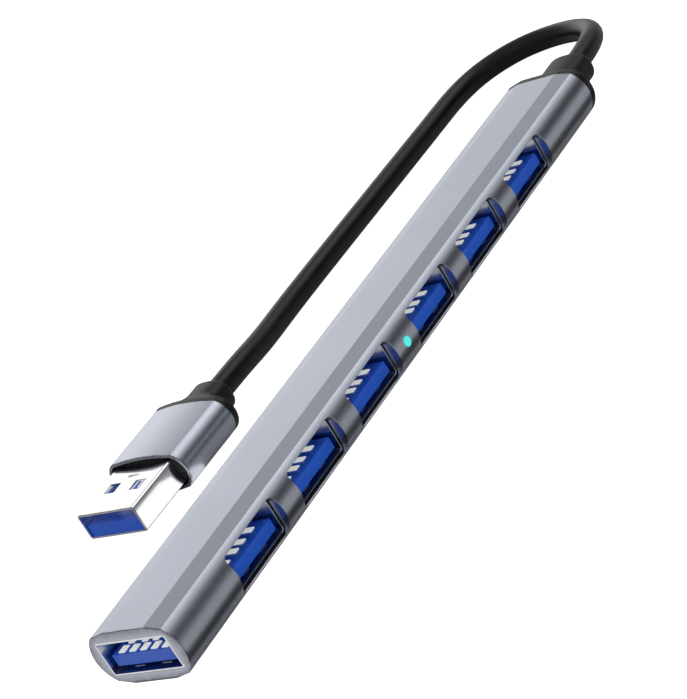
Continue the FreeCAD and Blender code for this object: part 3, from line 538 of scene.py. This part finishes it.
@dataclass
class Extrusion:
    """A walled extrusion along +Y, with a broken edge at its ends and round its openings.

    outer, inner and mouth are outlines of the same number of (x, z) points.  A mouth takes the
    inner outline's place up to mouth_depth from the start.
    """

    outer: np.ndarray
    inner: np.ndarray
    start: float
    length: float
    edge: float
    openings: tuple[Opening, ...] = ()
    mouth: np.ndarray | None = None
    mouth_depth: float = 1.0

    def add(self, skin: Skin) -> None:
        """Adds the outside, the inside, both ends and the openings' walls.

        Args:
            skin: The skin that receives the grids.
        """
        places = self.stations()
        count, columns = len(places), len(self.outer)
        outside = np.zeros((count, columns))
        inside = np.zeros((count, columns))
        for j, (y, opening, end) in enumerate(places):
            if opening is None:
                outside[j], inside[j] = y, y
                continue
            across = 1 - opening.axis
            alike = [o for o in self.openings if (o.along, o.axis) == (opening.along, opening.axis)]
            nearest = np.array([abs(self.outer[:, across] - o.across) for o in alike]).argmin(axis=0)
            for rows, outline, grow in ((outside, self.outer, self.edge), (inside, self.inner, 0.0)):
                ends = np.array([o.ends(outline[:, across], grow)[end] for o in alike])
                rows[j] = ends[nearest, np.arange(columns)]
        outer = lifted(np.broadcast_to(self.outer, (count, columns, 2)), outside)
        bores = np.array(np.broadcast_to(self.inner, (count, columns, 2)))
        if self.mouth is not None:
            bores[[y < self.start + self.mouth_depth - TINY for y, _, _ in places]] = self.mouth
        inner = lifted(bores, inside)
        keep = np.ones((count - 1, columns), bool)
        reveals = [self.cut(opening, places, keep) for opening in self.openings]
        ends = self.ends_in(outer, inner)
        skin.grid(outer, keep, wrap=True)
        skin.grid(inner, keep, wrap=True)
        # The end loops' rim marks carry the painted edge shade or highlight.
        for loops in ends:
            skin.grid(loops, wrap=True, rim=np.array([1.0, 1.0, 0.0])[:, None])
        for opening, loop in zip(self.openings, reveals):
            j, n = loop
            rim_loop, wall = outer[j, n], inner[j, n]
            broken = wall.copy()
            axis = 2 * opening.axis
            broken[:, axis] = rim_loop[:, axis] - opening.side * self.edge
            # The broken edge round each opening carries the painted edge shade or highlight.
            marks = np.array([0.0, 1.0, 0.0, 0.0])[:, None]
            close = broken + (wall - broken) * RIM_SHARE
            skin.grid(np.stack([rim_loop, broken, close, wall]), wrap=True, rim=marks)

    def stations(self) -> list[Station]:
        """Places along Y where the grids have a row.

        Returns:
            Both ends and one row near each, the mouth's step, and every opening's two ends.
        """
        end, near = self.start + self.length, END_EDGES * self.edge
        rows = [(self.start, None, 0), (end, None, 1), (self.start + near, None, 0), (end - near, None, 0)]
        if self.mouth is not None:
            rows += [(self.start + self.mouth_depth * share, None, 0) for share in (MOUTH_SHARE, 1.0)]
        for opening in self.openings:
            rows.append((opening.along - opening.half_length, opening, 0))
            rows.append((opening.along + opening.half_length, opening, 1))
        distinct = {(round(y, 5), o and (o.half_width, o.corner), k): (y, o, k) for y, o, k in rows}
        return sorted(distinct.values(), key=lambda row: (row[0], row[2]))

    def cut(self, opening: Opening, places: list[Station], keep: np.ndarray) -> tuple[np.ndarray, np.ndarray]:
        """Takes an opening's cells out of both skins.

        Args:
            opening: The opening.
            places: The extrusion's stations.
            keep: Mask of cells, changed in place.

        Returns:
            Station and column indices of the loop round the opening.
        """
        across = self.outer[:, 1 - opening.axis]
        facing = self.outer[:, opening.axis] * opening.side > 0
        wall = np.abs(self.inner[:, opening.axis]).max()
        facing &= np.abs(self.inner[:, opening.axis] * opening.side - wall) < TINY
        within = np.abs(across - opening.across) <= opening.half_width + self.edge + TINY
        columns = np.flatnonzero(facing & within)
        if np.any(np.diff(columns) > 1):
            split = int(np.flatnonzero(np.diff(columns) > 1)[0]) + 1
            columns = np.concatenate([columns[split:], columns[:split]])
        ends = [opening.along - opening.half_length, opening.along + opening.half_length]
        near, far = (
            min(range(len(places)), key=lambda k: (abs(places[k][0] - end), places[k][2] != side))
            for side, end in enumerate(ends)
        )
        keep[near:far, columns[:-1]] = False
        stations = np.arange(near, far + 1)
        across_run, along_run = np.ones(len(columns) - 1, int), np.ones(len(stations) - 1, int)
        j = np.concatenate([across_run * near, stations[:-1], across_run * far, stations[:0:-1]])
        n = np.concatenate([columns[:-1], along_run * columns[-1], columns[:0:-1], along_run * columns[0]])
        return j, n

    def ends_in(self, outer: np.ndarray, inner: np.ndarray) -> list[np.ndarray]:
        """Breaks both ends' outer edges and gives the loops of the end faces.

        Args:
            outer: Outer grid, whose first and last row draw in by the edge.
            inner: Inner grid.

        Returns:
            Three loops for each end: the skin's edge, the end face's edge and the bore's edge.
        """
        half = np.abs(self.outer).max(axis=0)
        drawn = self.outer * (1.0 - self.edge / half)
        faces = []
        for row, direction in ((0, 1.0), (-1, -1.0)):
            outer[row, :, 1] += direction * self.edge
            face = lifted(drawn, inner[row, 0, 1])
            faces.append(np.stack([outer[row], face, inner[row]]))
        return faces


def box_loop(
    half_width: float, half_height: float, corner: float, breaks: tuple[float, ...] = ()
) -> np.ndarray:
    """Outline of a box with round corners.

    Args:
        half_width: Half its width.
        half_height: Half its height.
        corner: Radius of its corners.
        breaks: Extra points across its top and bottom.

    Returns:
        Points (x, z), round the outline.
    """
    flat_x, flat_z = half_width - corner, half_height - corner
    turn = np.linspace(0.0, math.pi / 2, CORNER_POINTS)
    curve = np.stack([np.cos(turn), np.sin(turn)], axis=-1) * corner
    parts = []
    for quarter, (sign_x, sign_z) in enumerate(((1, 1), (-1, 1), (-1, -1), (1, -1))):
        angle = quarter * math.pi / 2
        spin = np.array([[math.cos(angle), math.sin(angle)], [-math.sin(angle), math.cos(angle)]])
        parts.append(curve @ spin + np.array([sign_x * flat_x, sign_z * flat_z]))
        if quarter in (0, 2) and breaks:
            rows = np.sort(np.array(breaks))[:: -sign_x]
            parts.append(np.stack([rows, np.full(len(rows), sign_z * half_height)], axis=-1))
    return np.concatenate(parts)


# ---- the housing
@dataclass
class Housing:
    """Extruded aluminium tube: flat facets above and below, round sides, six windows and a lamp hole."""

    width: float = 16.6
    height: float = 8.8
    facet: float = 7.6
    crease_width: float = 13.1
    crease_height: float = 7.5
    length: float = 138.0
    bore_width: float = 13.14
    bore_height: float = 5.74
    bore_corner: float = 0.5
    window: float = 13.5
    window_top: float = 2.8
    window_bottom: float = 3.15
    window_corner: float = 0.9
    lamp: float = 67.8
    lamp_width: float = 1.62
    edge: float = 0.1
    row_gap: float = 0.07
    ports: tuple[float, ...] = (21.65, 39.75, 57.85, 77.75, 95.85, 113.95)

    def openings(self) -> tuple[Opening, ...]:
        """The six windows and the lamp hole.

        Returns:
            The openings, all through the wall at +X.
        """
        middle = (self.window_top - self.window_bottom) / 2
        tall = (self.window_top + self.window_bottom) / 2
        windows = [Opening(y, middle, self.window / 2, tall, self.window_corner, 0, 1) for y in self.ports]
        radius = self.lamp_width / 2
        return (*windows, Opening(self.lamp, 0.0, radius, radius, radius, 0, 1))

    def rows(self) -> np.ndarray:
        """Heights of the points on the round sides, from crease to crease.

        Returns:
            The heights above the middle.
        """
        half = self.crease_height / 2
        even = half * np.sin(np.linspace(-1.0, 1.0, SIDE_POINTS) * math.pi / 2)
        openings = self.openings()
        fixed = np.concatenate([[-half, half], openings[0].rows(self.edge), openings[-1].rows(self.edge)])
        return spaced(even, fixed, self.row_gap)

    def outer(self) -> np.ndarray:
        """Outline of the outside: round side, facets, round side, facets.

        Returns:
            Points (x, z).
        """
        z = self.rows()
        x = bulge(z, self.width, self.crease_width, self.crease_height)
        side = np.stack([x, z], axis=-1)
        crease, facet = (self.crease_width, self.crease_height), (self.facet, self.height)
        corners = np.array([crease, facet, (-facet[0], facet[1]), (-crease[0], crease[1])]) / 2
        share = np.linspace(0.0, 1.0, 5)[:, None]
        runs = [first + (second - first) * share for first, second in zip(corners[:-1], corners[1:])]
        top = np.concatenate([run[1:] for run in runs])[:-1]
        return np.concatenate([side, top, -side, -top])

    def bend(self) -> tuple[np.ndarray, np.ndarray]:
        """Ceiling of the bore's mouth: three points round each corner and five between.

        Returns:
            Their places across and up.
        """
        turn = np.radians([60.0, 75.0, 90.0])
        flat_x, flat_z = self.bore_width / 2 - self.bore_corner, self.bore_height / 2 - self.bore_corner
        across = flat_x + self.bore_corner * np.cos(turn)
        up = flat_z + self.bore_corner * np.sin(turn)
        middle = np.linspace(flat_x, -flat_x, 7)[1:-1]
        level = np.full(len(middle), self.bore_height / 2)
        return np.concatenate([across, middle, -across[::-1]]), np.concatenate([up, level, up[::-1]])

    def mouth(self) -> np.ndarray:
        """Outline of the bore at its front end, whose side rows reach half round each corner.

        A row at share t of the side's height lies t (h + r pi / 4) along the wall and round the
        corner, where h is half the flat wall and r the corner's radius.

        Returns:
            Points (x, z), as many as the outside has.
        """
        corner = self.bore_corner
        flat_x, flat_z = self.bore_width / 2 - corner, self.bore_height / 2 - corner
        z = self.rows()
        run = z / z.max() * (flat_z + corner * math.pi / 4)
        turn = np.maximum(np.abs(run) - flat_z, 0.0) / corner
        up = np.sign(run) * (np.minimum(np.abs(run), flat_z) + corner * np.sin(turn))
        side = np.stack([flat_x + corner * np.cos(turn), up], axis=-1)
        ceiling = np.stack(self.bend(), axis=-1)
        return np.concatenate([side, ceiling, -side, -ceiling])

    def inner(self) -> np.ndarray:
        """Outline of the bore behind its mouth, square and as deep as the windows reach.

        Rows inside the windows and the lamp hole are drawn in by the broken edge.

        Returns:
            Points (x, z), as many as the outside has.
        """
        z = self.rows()
        wall, lamp = self.bore_width / 2, self.lamp_width / 2
        true = np.array([-self.window_bottom, -lamp, lamp, self.window_top])
        seen = true + self.edge * np.array([-1.0, -1.0, 1.0, 1.0])
        up = np.interp(z, [*seen, self.crease_height / 2], [*true, self.window_bottom])
        below = z < seen[0] - self.edge / 2
        side = np.stack([np.where(below, wall - self.edge, wall), up], axis=-1)
        across, _ = self.bend()
        ceiling = np.stack([across, np.full(len(across), self.window_bottom)], axis=-1)
        return np.concatenate([side, ceiling, -side, -ceiling])

    def build(self) -> bpy.types.Object:
        """Builds the tube in place of its CAD node.

        Returns:
            The tube.
        """
        outlines = self.outer(), self.inner()
        tube = Extrusion(*outlines, 0.0, self.length, self.edge, self.openings(), self.mouth())
        skin = Skin()
        tube.add(skin)
        piece = skin.build("aluminium_tube", Matrix.Translation((0.0, FRONT, MID)), crease=TUBE_CREASE)
        return stand_in(piece, "housing_tube")


# ---- the mouldings
@dataclass
class Moulding:
    """Black end moulding: rim, shoulder that flares in, and a rounded neck with the cable in it."""

    name: str
    node: str
    section: np.ndarray
    start: float
    rim: float
    step: float
    shoulder: float
    neck_width: float
    neck_height: float
    neck: float
    rounding: float
    hole: float = 2.0
    flare: float = 1.9
    squareness: float = 2.7

    def neck_loop(self, inset: float) -> np.ndarray:
        """Superellipse |x/a|^p + |z/b|^p = 1, one point for each of the rim's, in its direction.

        Args:
            inset: How far inside the neck's own outline.

        Returns:
            Points (x, z).
        """
        half = np.abs(self.section).max(axis=0)
        turn = np.arctan2(self.section[:, 1] / half[1], self.section[:, 0] / half[0])
        across, up = np.cos(turn), np.sin(turn)
        power = self.squareness
        reach = (np.abs(across) ** power + np.abs(up) ** power) ** (-1.0 / power)
        size = np.array([self.neck_width / 2 - inset, self.neck_height / 2 - inset])
        return np.stack([across * reach, up * reach], axis=-1) * size

    def build(self, place: Matrix) -> bpy.types.Object:
        """Carries the outline along Y and closes it round the cable.

        Args:
            place: Where the moulding's own axis lies.

        Returns:
            The moulding.
        """
        half = np.abs(self.section).max(axis=0)
        turn = np.linspace(0.0, math.pi / 2, CORNER_POINTS)
        loops = [lifted(self.section, self.start)]
        drawn_in, held_back = 1.0 - np.cos(turn), 1.0 - np.sin(turn)
        for inset, short in zip(self.step * drawn_in, self.step * held_back):
            loops.append(lifted(self.section * (1.0 - inset / half), self.start + self.rim - short))
        base = self.section * (1.0 - self.step / half)
        neck = self.neck_loop(0.0)
        rim_end = self.start + self.rim
        for share in np.linspace(0.0, 1.0, SHOULDER_POINTS)[1:]:
            drawn = 1.0 - (1.0 - share) ** self.flare
            loops.append(lifted(base + (neck - base) * drawn, rim_end + self.shoulder * share))
        end = rim_end + self.shoulder + self.neck
        for inset, short in zip(self.rounding * drawn_in, self.rounding * held_back):
            loops.append(lifted(self.neck_loop(inset), end - short))
        facing = np.arctan2(neck[:, 1], neck[:, 0])
        hole = np.stack([np.cos(facing), np.sin(facing)], axis=-1) * self.hole
        loops += [lifted(hole, end), lifted(hole, self.start), loops[0]]
        skin = Skin()
        skin.grid(np.stack(loops), wrap=True)
        piece = skin.build(self.name, place, crease=MOULDING_CREASE)
        return stand_in(piece, self.node)


# ---- the receptacles
@dataclass
class Receptacle:
    """Steel shell of one port, drawn from strip, with leaf springs inside its top and bottom."""

    name: str
    node: str
    mouth: tuple[float, float, float]
    sideways: bool
    width: float = 13.12
    height: float = 5.72
    wall: float = 0.31
    corner: float = 0.5
    depth: float = 10.3
    spring_width: float = 1.7
    spring_length: float = 5.6
    spring_start: float = 1.3
    spring_gap: float = 5.0
    spring_lift: float = 0.24
    spring_thick: float = 0.12
    spring_taper: float = 0.25
    spring_bow: float = 1.5
    edge: float = 0.07

    def spring(self, across: float, side: int) -> np.ndarray:
        """Leaf spring that bows inwards: lift sin(pi u)^1.5 over its length, u from 0 to 1.

        Args:
            across: Place of its middle across the port.
            side: 1 for the top wall and -1 for the bottom.

        Returns:
            A closed band of four edges along the spring.
        """
        share = np.linspace(0.0, 1.0, SPRING_POINTS)
        y = self.spring_start + self.spring_length * share
        lift = self.spring_lift * np.sin(math.pi * share) ** self.spring_bow
        wall = self.height / 2 - self.wall
        half = self.spring_width / 2 * (1.0 - self.spring_taper * share)
        low, high = wall - lift - self.spring_thick / 2, wall - lift + self.spring_thick / 2
        band = [(-half, low), (half, low), (half, high), (-half, high)]
        return np.stack([np.stack([across + x, y, side * z], axis=-1) for x, z in band], axis=1)

    def build(self) -> bpy.types.Object:
        """Builds the shell in place of its CAD node.

        Returns:
            The shell, its mouth facing +X or -Y.
        """
        half = np.array([self.width, self.height]) / 2
        outer = box_loop(*half, self.corner)
        inner = box_loop(*(half - self.wall), self.corner - self.wall)
        skin = Skin()
        Extrusion(outer, inner, 0.0, self.depth, self.edge).add(skin)
        for side in (1, -1):
            for across in (-self.spring_gap / 2, self.spring_gap / 2):
                band = self.spring(across, side)
                skin.grid(band, wrap=True)
                for end in (0, -1):
                    skin.grid(band[end][[[0, 1], [3, 2]]])
        turn = Matrix.Rotation(math.pi / 2, 4, "Z") if self.sideways else Matrix.Identity(4)
        piece = skin.build(self.name, Matrix.Translation(self.mouth) @ turn, crease=SHELL_CREASE)
        return stand_in(piece, self.node)


# ---- the plug
@dataclass
class Plug:
    """Plug at the cable's end: bright shell, aluminium sleeve and black rear moulding."""

    tip: tuple[float, float, float] = (-30.1, -40.28, 3.55)
    yaw: float = -1.1
    shell_width: float = 12.0
    shell_height: float = 4.5
    shell_wall: float = 0.32
    shell_corner: float = 0.45
    shell_length: float = 19.5
    exposed: float = 11.1
    latch: float = 2.3
    latch_spacing: float = 5.4
    latch_setback: float = 4.8
    slot_width: float = 2.2
    slot_length: float = 0.5
    slot_setback: float = 8.5
    sleeve_length: float = 13.5
    sleeve_width: float = 16.2
    sleeve_height: float = 7.1
    crease_width: float = 12.7
    crease_height: float = 6.0
    sleeve_wall: float = 0.45
    shell_edge: float = 0.06
    sleeve_edge: float = 0.12
    latch_corner: float = 0.12

    def place(self) -> Matrix:
        """Where the plug's own axis lies, in millimetres."""
        return Matrix.Translation(self.tip) @ Matrix.Rotation(math.radians(self.yaw), 4, "Z")

    def build_shell(self) -> bpy.types.Object:
        """Builds the folded steel shell with its latch windows and its slot.

        Returns:
            The shell.
        """
        edge = self.shell_edge
        middle = self.latch_setback + self.latch / 2
        half = self.latch / 2
        openings = [
            Opening(middle, side * self.latch_spacing / 2, half, half, self.latch_corner, 1, face)
            for face in (1, -1)
            for side in (-1, 1)
        ]
        slot_radius = self.slot_length / 2
        slot_half = self.slot_width / 2
        openings.append(Opening(self.slot_setback, 0.0, slot_radius, slot_half, slot_radius, 1, 1))
        loops = []
        for inset, grow in ((0.0, edge), (self.shell_wall, 0.0)):
            rows = np.unique(np.round(np.concatenate([opening.rows(grow) for opening in openings]), 5))
            size = (self.shell_width / 2 - inset, self.shell_height / 2 - inset)
            loops.append(box_loop(*size, self.shell_corner - inset, tuple(rows)))
        skin = Skin()
        Extrusion(*loops, 0.0, self.shell_length, edge, tuple(openings)).add(skin)
        piece = skin.build("plug_bright_shell", self.place(), crease=SHELL_CREASE)
        return stand_in(piece, "plug_shell")

    def sleeve_loop(self, drawn: float) -> np.ndarray:
        """Lens outline: two flat arcs between creases, and a round side at each end.

        Args:
            drawn: How far inside the sleeve's own outline.

        Returns:
            Points (x, z).
        """
        z = self.crease_height / 2 * np.sin(np.linspace(-1.0, 1.0, LENS_POINTS) * math.pi / 2)
        side = np.stack([bulge(z, self.sleeve_width, self.crease_width, self.crease_height), z], axis=-1)
        x = self.crease_width / 2 * np.linspace(1.0, -1.0, LENS_POINTS)[1:-1]
        top = np.stack([x, bulge(x, self.sleeve_height, self.crease_height, self.crease_width)], axis=-1)
        loop = np.concatenate([side, top, -side, -top])
        return loop * (1.0 - drawn / np.abs(loop).max(axis=0))

    def build_sleeve(self) -> bpy.types.Object:
        """Builds the aluminium sleeve.

        Returns:
            The sleeve.
        """
        skin = Skin()
        outer, inner = self.sleeve_loop(0.0), self.sleeve_loop(self.sleeve_wall)
        Extrusion(outer, inner, self.exposed, self.sleeve_length, self.sleeve_edge).add(skin)
        piece = skin.build("plug_aluminium_sleeve", self.place(), crease=TUBE_CREASE)
        return stand_in(piece, "plug_sleeve")

    def build_rear(self) -> bpy.types.Object:
        """Builds the black moulding behind the sleeve.

        Returns:
            The moulding.
        """
        rear = Moulding(
            name="plug_rear_moulding",
            node="plug_rear_cap",
            section=self.sleeve_loop(0.0),
            start=self.exposed + self.sleeve_length,
            rim=1.4, step=0.5, shoulder=2.6, neck_width=7.2, neck_height=5.6, neck=3.2, rounding=1.0,
        )
        return rear.build(self.place())


# ---- the cable
@dataclass
class Cable:
    """Round cable from the hub's neck, round behind it and back along its side to the plug."""

    diameter: float = 4.0
    length: float = 143.0
    route: tuple[tuple[float, float, float], ...] = (
        (0.0, 74.5, 4.4), (0.0, 81.3, 4.4), (-3.2, 89.2, 3.6), (-9.6, 94.7, 2.5),
        (-17.0, 96.6, 2.02), (-23.5, 94.8, 2.02), (-28.5, 89.9, 2.02), (-30.9, 82.7, 2.02),
        (-31.0, 70.8, 2.02), (-31.3, 51.3, 2.02), (-31.6, 33.3, 2.02), (-31.7, 18.3, 2.02),
        (-30.6, 7.3, 2.4), (-29.359, -1.687, 3.55), (-29.490, -8.486, 3.55),
    )

    def build(self, companions: tuple[bpy.types.Object, ...]) -> bpy.types.Object:
        """Builds the cable as a smooth spline with the route as its control points.

        Args:
            companions: The plug's pieces; not used.

        Returns:
            The cable.
        """
        curve = bpy.data.curves.new("black_cable", "CURVE")
        curve.dimensions = "3D"
        line = curve.splines.new("NURBS")
        line.points.add(len(self.route) - 1)
        for point, place in zip(line.points, self.route):
            point.co = (*(coordinate * MM for coordinate in place), 1.0)
            point.radius = self.diameter / 2 * MM
        line.order_u = 3
        line.use_endpoint_u = True
        line.resolution_u = 12
        line.use_smooth = True
        curve.bevel_depth = 1.0  # times each point's radius
        curve.bevel_resolution = 8
        curve.use_fill_caps = True
        piece = stand_in(added("black_cable", curve), "usb_cable")
        return piece


# ---- the studio
CAMERA_CLIP = (0.01, 10.0)
BACKDROP, DARKEST_SKY = 0.98, 0.03
FLOOR_REACH, FLOOR_DROP, CARD_LIFT = 4.0, 0.00002, 0.00003
FLOOR_SEEN, FLOOR_LIGHTING = 0.9, 0.5
WHITE = (1.0, 1.0, 1.0, 1.0)


@dataclass(frozen=True)
class SoftLight:
    """One soft patch of the studio's sky: where it is, how tight it is and how bright."""

    direction: tuple[float, float, float]
    tightness: float
    strength: float


@dataclass(frozen=True)
class Card:
    """A card on the floor: its lowest and highest X and Y, and its brightness, from 0 for black."""

    name: str
    corners: tuple[float, float, float, float]
    strength: float


@dataclass
class Studio:
    """Pale floor, soft sky, cards beside the hub, and the camera."""

    eye: tuple[float, float, float] = (248.297, -275.552, 153.331)
    right: tuple[float, float, float] = (0.75543, 0.44059, -0.48498)
    up: tuple[float, float, float] = (0.16417, 0.58928, 0.79107)
    back: tuple[float, float, float] = (0.63433, -0.67722, 0.37283)
    lens: float = 137.43
    sensor: float = 36.0
    sky: float = 0.30
    fill: float = 0.75
    fill_angle: float = 30.0
    fill_direction: tuple[float, float, float] = (0.58, -0.30, 0.76)
    lights: tuple[SoftLight, ...] = (
        SoftLight((-0.75, 0.62, 0.25), 12.0, 1.05),
        SoftLight((0.22, 0.67, 0.71), 18.0, 1.55),
        SoftLight((0.66, 0.70, 0.26), 9.0, -0.38),
        SoftLight((-0.42, 0.67, 0.61), 25.0, -0.12),
        SoftLight((0.15, -0.35, 0.92), 3.0, 0.30),
    )
    cards: tuple[Card, ...] = (
        # dark_card is painted shade: a black sheet seen only in reflections, beside the hub's bottom edge
        # where its shade falls.
        Card("dark_card", (8.4, 12.5, -90.0, 90.0), 0.0),
        Card("end_card", (-30.0, 8.0, -110.0, -74.9), 0.8),
        Card("side_card", (12.5, 60.0, -90.0, 110.0), 0.46),
        Card("bounce_card", (-23.5, -12.0, -46.0, -24.5), 1.1),
    )

    def build_camera(self) -> None:
        """Makes the camera and gives it to the scene."""
        data = bpy.data.cameras.new("camera")
        data.lens = self.lens
        data.sensor_width = self.sensor
        data.clip_start, data.clip_end = CAMERA_CLIP
        camera = added("camera", data)
        turn = Matrix((self.right, self.up, self.back)).transposed().to_4x4()
        camera.matrix_world = Matrix.Translation(Vector(self.eye) * MM) @ turn
        bpy.context.scene.camera = camera

    def build_sky(self) -> None:
        """Sky of even light with soft patches: each adds strength exp(tightness (cos angle - 1))."""
        world = bpy.data.worlds.new("studio")
        bpy.context.scene.world = world
        world.use_nodes = True
        graph = Graph(world.node_tree)
        place = graph.add("TexCoord", {}).outputs["Generated"]
        total: Feed = self.sky
        for light in self.lights:
            towards = Vector(light.direction).normalized()
            near = graph.add("VectorMath", {0: place, 1: towards}, operation="DOT_PRODUCT")
            drop = graph.maths("SUBTRACT", near.outputs["Value"], 1.0)
            power = graph.maths("MULTIPLY", drop, light.tightness)
            patch = graph.maths("MULTIPLY", graph.maths("EXPONENT", power), light.strength)
            total = graph.maths("ADD", patch, total)
        sky = graph.maths("MAXIMUM", total, DARKEST_SKY)
        seen = graph.add("LightPath", {}).outputs["Is Camera Ray"]
        plain = graph.add("Mix", {"Factor": seen, "A": sky, "B": BACKDROP}).outputs["Result"]
        graph.feed(world.node_tree.nodes["Background"], {"Color": WHITE, "Strength": plain})

    def build_sheet(
        self, name: str, corners: tuple[float, ...], height: float
    ) -> tuple[bpy.types.Object, Graph]:
        """Flat sheet with a material of its own.

        Args:
            name: The sheet's name.
            corners: Its lowest and highest X and Y, in metres.
            height: Its height, in metres.

        Returns:
            The sheet and its material's graph.
        """
        x0, x1, y0, y1 = corners
        mesh = bpy.data.meshes.new(name)
        points = [(x, y, height) for x, y in ((x0, y0), (x1, y0), (x1, y1), (x0, y1))]
        mesh.from_pydata(points, [], [(0, 1, 2, 3)])
        paint = bpy.data.materials.new(name)
        paint.use_nodes = True
        mesh.materials.append(paint)
        return added(name, mesh), Graph(paint.node_tree)

    def build_floor(self) -> None:
        """Pale floor: white where it is looked at, and a quieter grey where it lights the hub."""
        reach = (-FLOOR_REACH, FLOOR_REACH)
        floor, graph = self.build_sheet("floor", (*reach, *reach), -FLOOR_DROP)
        seen = graph.add("LightPath", {}).outputs["Is Camera Ray"]
        looks = {
            "Base Color": graph.tint(seen, (*grey(FLOOR_LIGHTING), 1.0), (*grey(FLOOR_SEEN), 1.0)),
            "Roughness": 0.9,
            "Specular IOR Level": 0.1,
            "Emission Color": WHITE,
            "Emission Strength": seen,
        }
        graph.feed(graph.tree.nodes["Principled BSDF"], looks)

    def build_fill(self) -> None:
        """Makes a broad soft light from the ports' side, which only lights matt surfaces."""
        data = bpy.data.lights.new("port_fill", "SUN")
        data.energy = self.fill
        data.angle = math.radians(self.fill_angle)
        light = added("port_fill", data)
        light.rotation_euler = Vector(self.fill_direction).to_track_quat("Z", "Y").to_euler()
        light.visible_glossy = False

    def build_card(self, card: Card) -> None:
        """Lays a card on the floor that only shows in reflections.

        Args:
            card: The card.
        """
        sheet, graph = self.build_sheet(card.name, tuple(value * MM for value in card.corners), CARD_LIFT)
        looks = {"Base Color": (*grey(0.01), 1.0), "Emission Color": WHITE}
        looks["Emission Strength"] = card.strength
        graph.feed(graph.tree.nodes["Principled BSDF"], looks)
        for ray in ("camera", "diffuse", "shadow", "transmission"):
            setattr(sheet, f"visible_{ray}", False)

    def build(self) -> None:
        """Builds the camera, the sky, the floor, the fill light and the cards."""
        bpy.context.scene.view_settings.view_transform = "Standard"
        self.build_camera()
        self.build_sky()
        self.build_floor()
        self.build_fill()
        for card in self.cards:
            self.build_card(card)


# ---- the whole
CABLE_COMPANIONS = (
    "plug_insulator", "plug_contact_pads", "plug_fast_springs", "plug_core", "cable_end_in_plug",
    "cable_wires_in_plug",
)


def dress_frame(materials: dict[Slot, bpy.types.Material]) -> None:
    """Gives every CAD node, shown or not, its finish.

    Args:
        materials: The finishes, by slot.
    """
    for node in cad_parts.values():
        for holder in node.material_slots:
            holder.material = materials[Slot(holder.material.name.split(".")[0])]


def build_ports(materials: dict[Slot, bpy.types.Material]) -> None:
    """Builds the seven receptacles' shells at their CAD nodes.

    Args:
        materials: The finishes, by slot.
    """
    for name in ("end_port", *(f"side_port_{number}" for number in range(1, 7))):
        low, high = (np.array(corner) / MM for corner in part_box(f"{name}_shell"))
        middle = (low + high) / 2
        sideways = name != "end_port"
        mouth = (high[0], middle[1], middle[2]) if sideways else (middle[0], low[1], middle[2])
        shell = Receptacle(f"{name}_steel", f"{name}_shell", mouth, sideways).build()
        shell.data.materials.append(materials[Slot.PORT_STEEL])
        LOG.info("built %s", shell.name)


def main() -> None:
    """Builds the studio, the finishes, the plug, the cable, the housing, its rear moulding and the ports, in
    that order.
    """
    logging.basicConfig(level=logging.INFO, format="%(name)s: %(message)s")
    Studio().build()
    materials = build_finishes()
    dress_frame(materials)
    plug = Plug()
    parts = {
        plug.build_shell(): Slot.PLUG_STEEL,
        plug.build_sleeve(): Slot.ALUMINIUM,
        plug.build_rear(): Slot.MOULDING,
    }
    inside = [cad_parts[name] for name in CABLE_COMPANIONS]
    cable = Cable().build((*parts, *inside))
    cable.data.materials.append(materials[Slot.JACKET])
    housing = Housing()
    parts[housing.build()] = Slot.ALUMINIUM
    rear = Moulding(
        name="hub_rear_moulding",
        node="rear_end_cap",
        section=housing.outer(),
        start=housing.length,
        rim=1.7, step=0.6, shoulder=3.6, neck_width=8.2, neck_height=5.8, neck=5.7, rounding=1.2,
    )
    parts[rear.build(Matrix.Translation((0.0, FRONT, MID)))] = Slot.MOULDING
    for piece, slot in parts.items():
        piece.data.materials.append(materials[slot])
        LOG.info("built %s", piece.name)
    build_ports(materials)
    LOG.info("built %s", cable.name)


if __name__ == "__main__":
    main()
